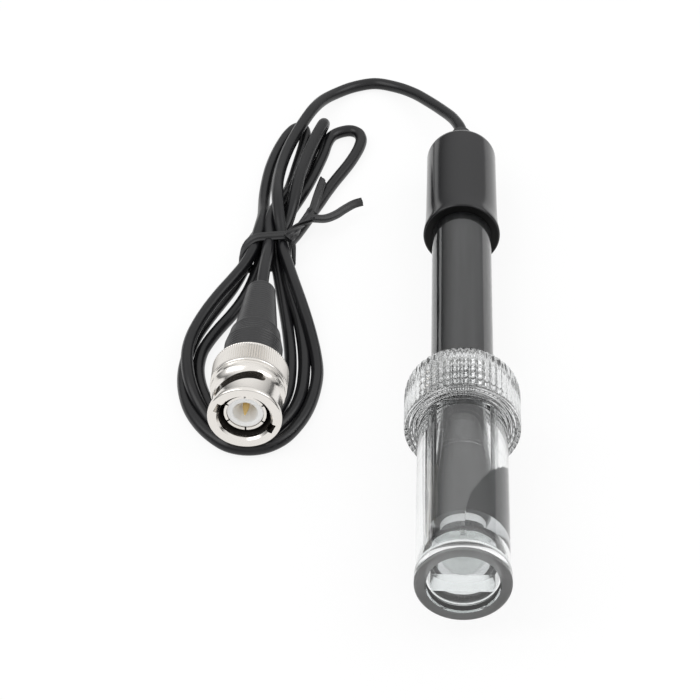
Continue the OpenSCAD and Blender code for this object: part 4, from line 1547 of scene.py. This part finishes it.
@dataclass
class StorageBottle:
    """The clear bottle, its ribbed nut, the seal under the nut and the pool of liquid."""

    bore_r: float = 6.7
    wall_r: float = 8.45
    foot_r: float = 8.7
    recess_r: float = 6.5
    recess: float = 0.35
    floor_top: float = 3.2
    shoulder: float = 41.5
    neck_r: float = 7.4
    neck_top: float = 51.0
    nut_low: float = 42.0
    nut_top: float = 55.2
    nut_r: float = 11.0
    nut_bore_r: float = 7.95
    nut_hole_r: float = 6.15
    ribs: int = 50
    rib_depth: float = 0.5
    thread_pitch: float = 2.0
    thread_depth: float = 0.25
    nut_thread_depth: float = 0.2
    thread_step: float = 0.25

    def bottle_outline(self, wet_stations: Sequence[float]) -> Profile:
        """Gives the bottle's outline: recessed foot, wall, shoulder, neck and bore.

        Args:
            wet_stations: the heights of the rows that the liquid's edge needs in the bore.

        Returns:
            The outline, from the floor's underside to its top.
        """
        foot_edge, shoulder_edge, corner = 0.4, 0.3, 0.7
        thread_low, thread_high = 42.2, 50.4
        outline: Profile = [(0.0, self.recess), (self.recess_r, self.recess), (self.recess_r + 0.25, 0.0)]
        outline += [(self.foot_r - foot_edge, 0.0)]
        outline += arc((self.foot_r - foot_edge, foot_edge), foot_edge, -90, 0, 5)
        outline += [(self.foot_r, 2.2), (8.6, 3.2), (8.5, 4.2), (self.wall_r, 5.2), (self.wall_r, 20.0)]
        outline += [(self.wall_r, self.shoulder - shoulder_edge)]
        outline += arc((self.wall_r - shoulder_edge, self.shoulder - shoulder_edge), shoulder_edge, 0, 90, 3)
        outline += [(self.neck_r, self.shoulder)]
        rows = int((thread_high - thread_low) / self.thread_step)
        outline += [(self.neck_r, thread_low + self.thread_step * i) for i in range(rows + 1)]
        outline += [(self.neck_r - 0.05, self.neck_top), (self.bore_r, self.neck_top)]
        outline += [(self.bore_r, station) for station in reversed(wet_stations)]
        outline += [(self.bore_r, self.floor_top + corner)]
        outline += arc((self.bore_r - corner, self.floor_top + corner), corner, 0, -90, 6)[1:]
        return outline + [(0.0, self.floor_top)]

    def bottle(self) -> None:
        """Makes the bottle with its frosted foot, whose dull grey is painted shade, its wet faces and its
        threaded neck.
        """
        wetting = Wetting()
        mesh = lathe(self.bottle_outline(wetting.stations()), FINE_TURN, close=False)
        mesh.materials.append(CLEAR.material())
        wetting.dress(mesh, self.bore_r, WET_CLEAR)
        # The foot's faces are frosted, and their dull grey is painted shade.
        mesh.materials.append(FROST_AND_SHADE.material())
        frost_and_shade_place = len(mesh.materials) - 1
        for face in mesh.polygons:
            if face.center.z < 1.0 and math.hypot(face.center.x, face.center.y) > self.bore_r:
                face.material_index = frost_and_shade_place
        self._thread(mesh, (7.25, 7.5), (42.6, 50.4), self.thread_depth)
        add_piece("bottle_shell", mesh, CLEAR, "storage_bottle", Body.BOTTLE, sharp=35)

    def _thread(
        self, mesh: bpy.types.Mesh, radii: tuple[float, float], band: tuple[float, float], depth: float
    ) -> None:
        """Raises a screw thread on the part of a mesh between two radii.

        Args:
            mesh: the mesh, in millimetres.
            radii: the least and the greatest radius that is threaded.
            band: the first and last station of the thread.
            depth: how far the thread stands out.
        """
        run_out = 0.8
        for vertex in mesh.vertices:
            x, y, z = vertex.co
            radius = math.hypot(x, y)
            if not (radii[0] < radius < radii[1] and band[0] <= z <= band[1]):
                continue
            phase = 2 * math.pi * z / self.thread_pitch - math.atan2(y, x)
            fade = min(1.0, (z - band[0]) / run_out, (band[1] - z) / run_out)
            share = (radius + depth * max(0.0, math.cos(phase)) ** 0.7 * fade) / radius
            vertex.co.x, vertex.co.y = x * share, y * share

    def nut(self, ridges: RippleGroup) -> None:
        """Makes the ribbed screw nut.

        Args:
            ridges: the group that raises the ribs.
        """
        rings, waves, edge, side_rows = 48, 3, 0.4, 24
        face_inner, face_outer, side_len = 8.1, 10.6, 9.1
        thread_low, thread_high = 42.6, 53.0
        outline: Profile = []
        for i in range(rings + 1):
            share = i / rings
            swell = 0.07 * (1 - math.cos(2 * math.pi * waves * share))
            outline.append((face_inner + (face_outer - face_inner) * share, self.nut_low + swell))
        outline += arc((self.nut_r - edge, self.nut_low + edge), edge, -90, 0, 4)[1:]
        side = self.nut_low + edge
        outline += [(self.nut_r, side + side_len * i / side_rows) for i in range(1, side_rows + 1)]
        outline += [(10.95, 52.2), (10.8, 52.9), (10.45, 53.6)]
        outline += [(9.95, 54.3), (9.4, 54.95), (9.2, self.nut_top)]
        outline += [(self.nut_hole_r, self.nut_top), (self.nut_hole_r, 53.48), (7.85, 53.48)]
        rows = int((thread_high - thread_low) / self.thread_step)
        outline += [(self.nut_bore_r, thread_high - self.thread_step * i) for i in range(rows + 1)]
        mesh = lathe(outline, self.ribs * 8)
        self._thread(mesh, (7.9, 8.0), (43.2, 52.6), self.nut_thread_depth)
        ribbed = ridges.raised(
            mesh, CLEAR, self.rib_depth, (42.3, 55.0), round_count=self.ribs, fade=0.4, least_radius=9.3
        )
        add_piece("bottle_ring_nut", ribbed, CLEAR, "bottle_nut", Body.NUT)

    def seal(self) -> None:
        """Makes the seal ring under the nut."""
        ring = lathe(arc((6.92, 51.87), 0.86, 0, 345, 23), 96)
        add_piece("bottle_seal_ring", ring, SEAL, "bottle_seal", Body.SEAL, sharp=60)

    def liquid(self) -> None:
        """Makes the pool of storage liquid under the tip. The wet walls show the rest of it."""
        wetting = Wetting()
        low, depth, rows, steps = 3.22, 4.2, 6, 60
        outer = self.bore_r + 0.015
        work = bmesh.new()
        rings: list[list[bmesh.types.BMVert]] = []
        for i in range(rows + 1):
            station = low + depth * i / rows
            height = wetting.below(station)
            level = math.degrees(math.acos(height / outer))
            half = outer * math.sin(math.radians(level))
            angles = [math.radians(180.0 + level * (2 * k / steps - 1)) for k in range(steps + 1)]
            edge = [(outer * math.sin(a), -outer * math.cos(a), station) for a in angles]
            edge += [(-half + 2 * half * k / steps, height, station) for k in range(1, steps)]
            rings.append([work.verts.new(corner) for corner in edge])
        cover_rings(work, rings, ends=False)
        for end in (rings[0], rings[-1]):
            work.faces.new(end)
        add_piece("bottle_liquid", finished_mesh(work), LIQUID, "storage_solution", Body.BOTTLE)

    def build(self, ridges: RippleGroup) -> None:
        """Makes all pieces of the bottle.

        Args:
            ridges: the group that raises the ribs.
        """
        self.bottle()
        self.nut(ridges)
        self.seal()
        self.liquid()


def dress_plain_nodes() -> None:
    """Gives the CAD nodes that are shown as they are their finishes."""
    for node, finish in (
        ("measuring_wire", SILVER),
        ("reference_wire", SILVER),
        ("reference_junction", CERAMIC),
        ("upper_seal", RESIN),
        ("cap_potting", RESIN),
        ("core_joint", SLEEVE),
        ("shield_joint", SLEEVE),
        ("cable_end_cap", JACKET),
        ("cable_gland", BOOT),
        ("bnc_retainer", SPRING),
        ("crimp_ferrule", NICKEL),
        ("cable_end_plug", JACKET),
        ("seal_washer", WASHER),
    ):
        dress_node(node, finish)


def main() -> None:
    """Builds the studio and the sub-assemblies in order."""
    logging.basicConfig(level=logging.INFO, format="%(name)s: %(message)s")
    scene = bpy.context.scene
    scene.view_settings.view_transform = "Standard"
    Studio().build()
    ridges = RippleGroup()
    tie = TwistTie().build()
    Plug().build(ridges)
    Cable().build(tie)
    Electrode().build()
    StorageBottle().build(ridges)
    dress_plain_nodes()


if __name__ == "__main__":
    main()
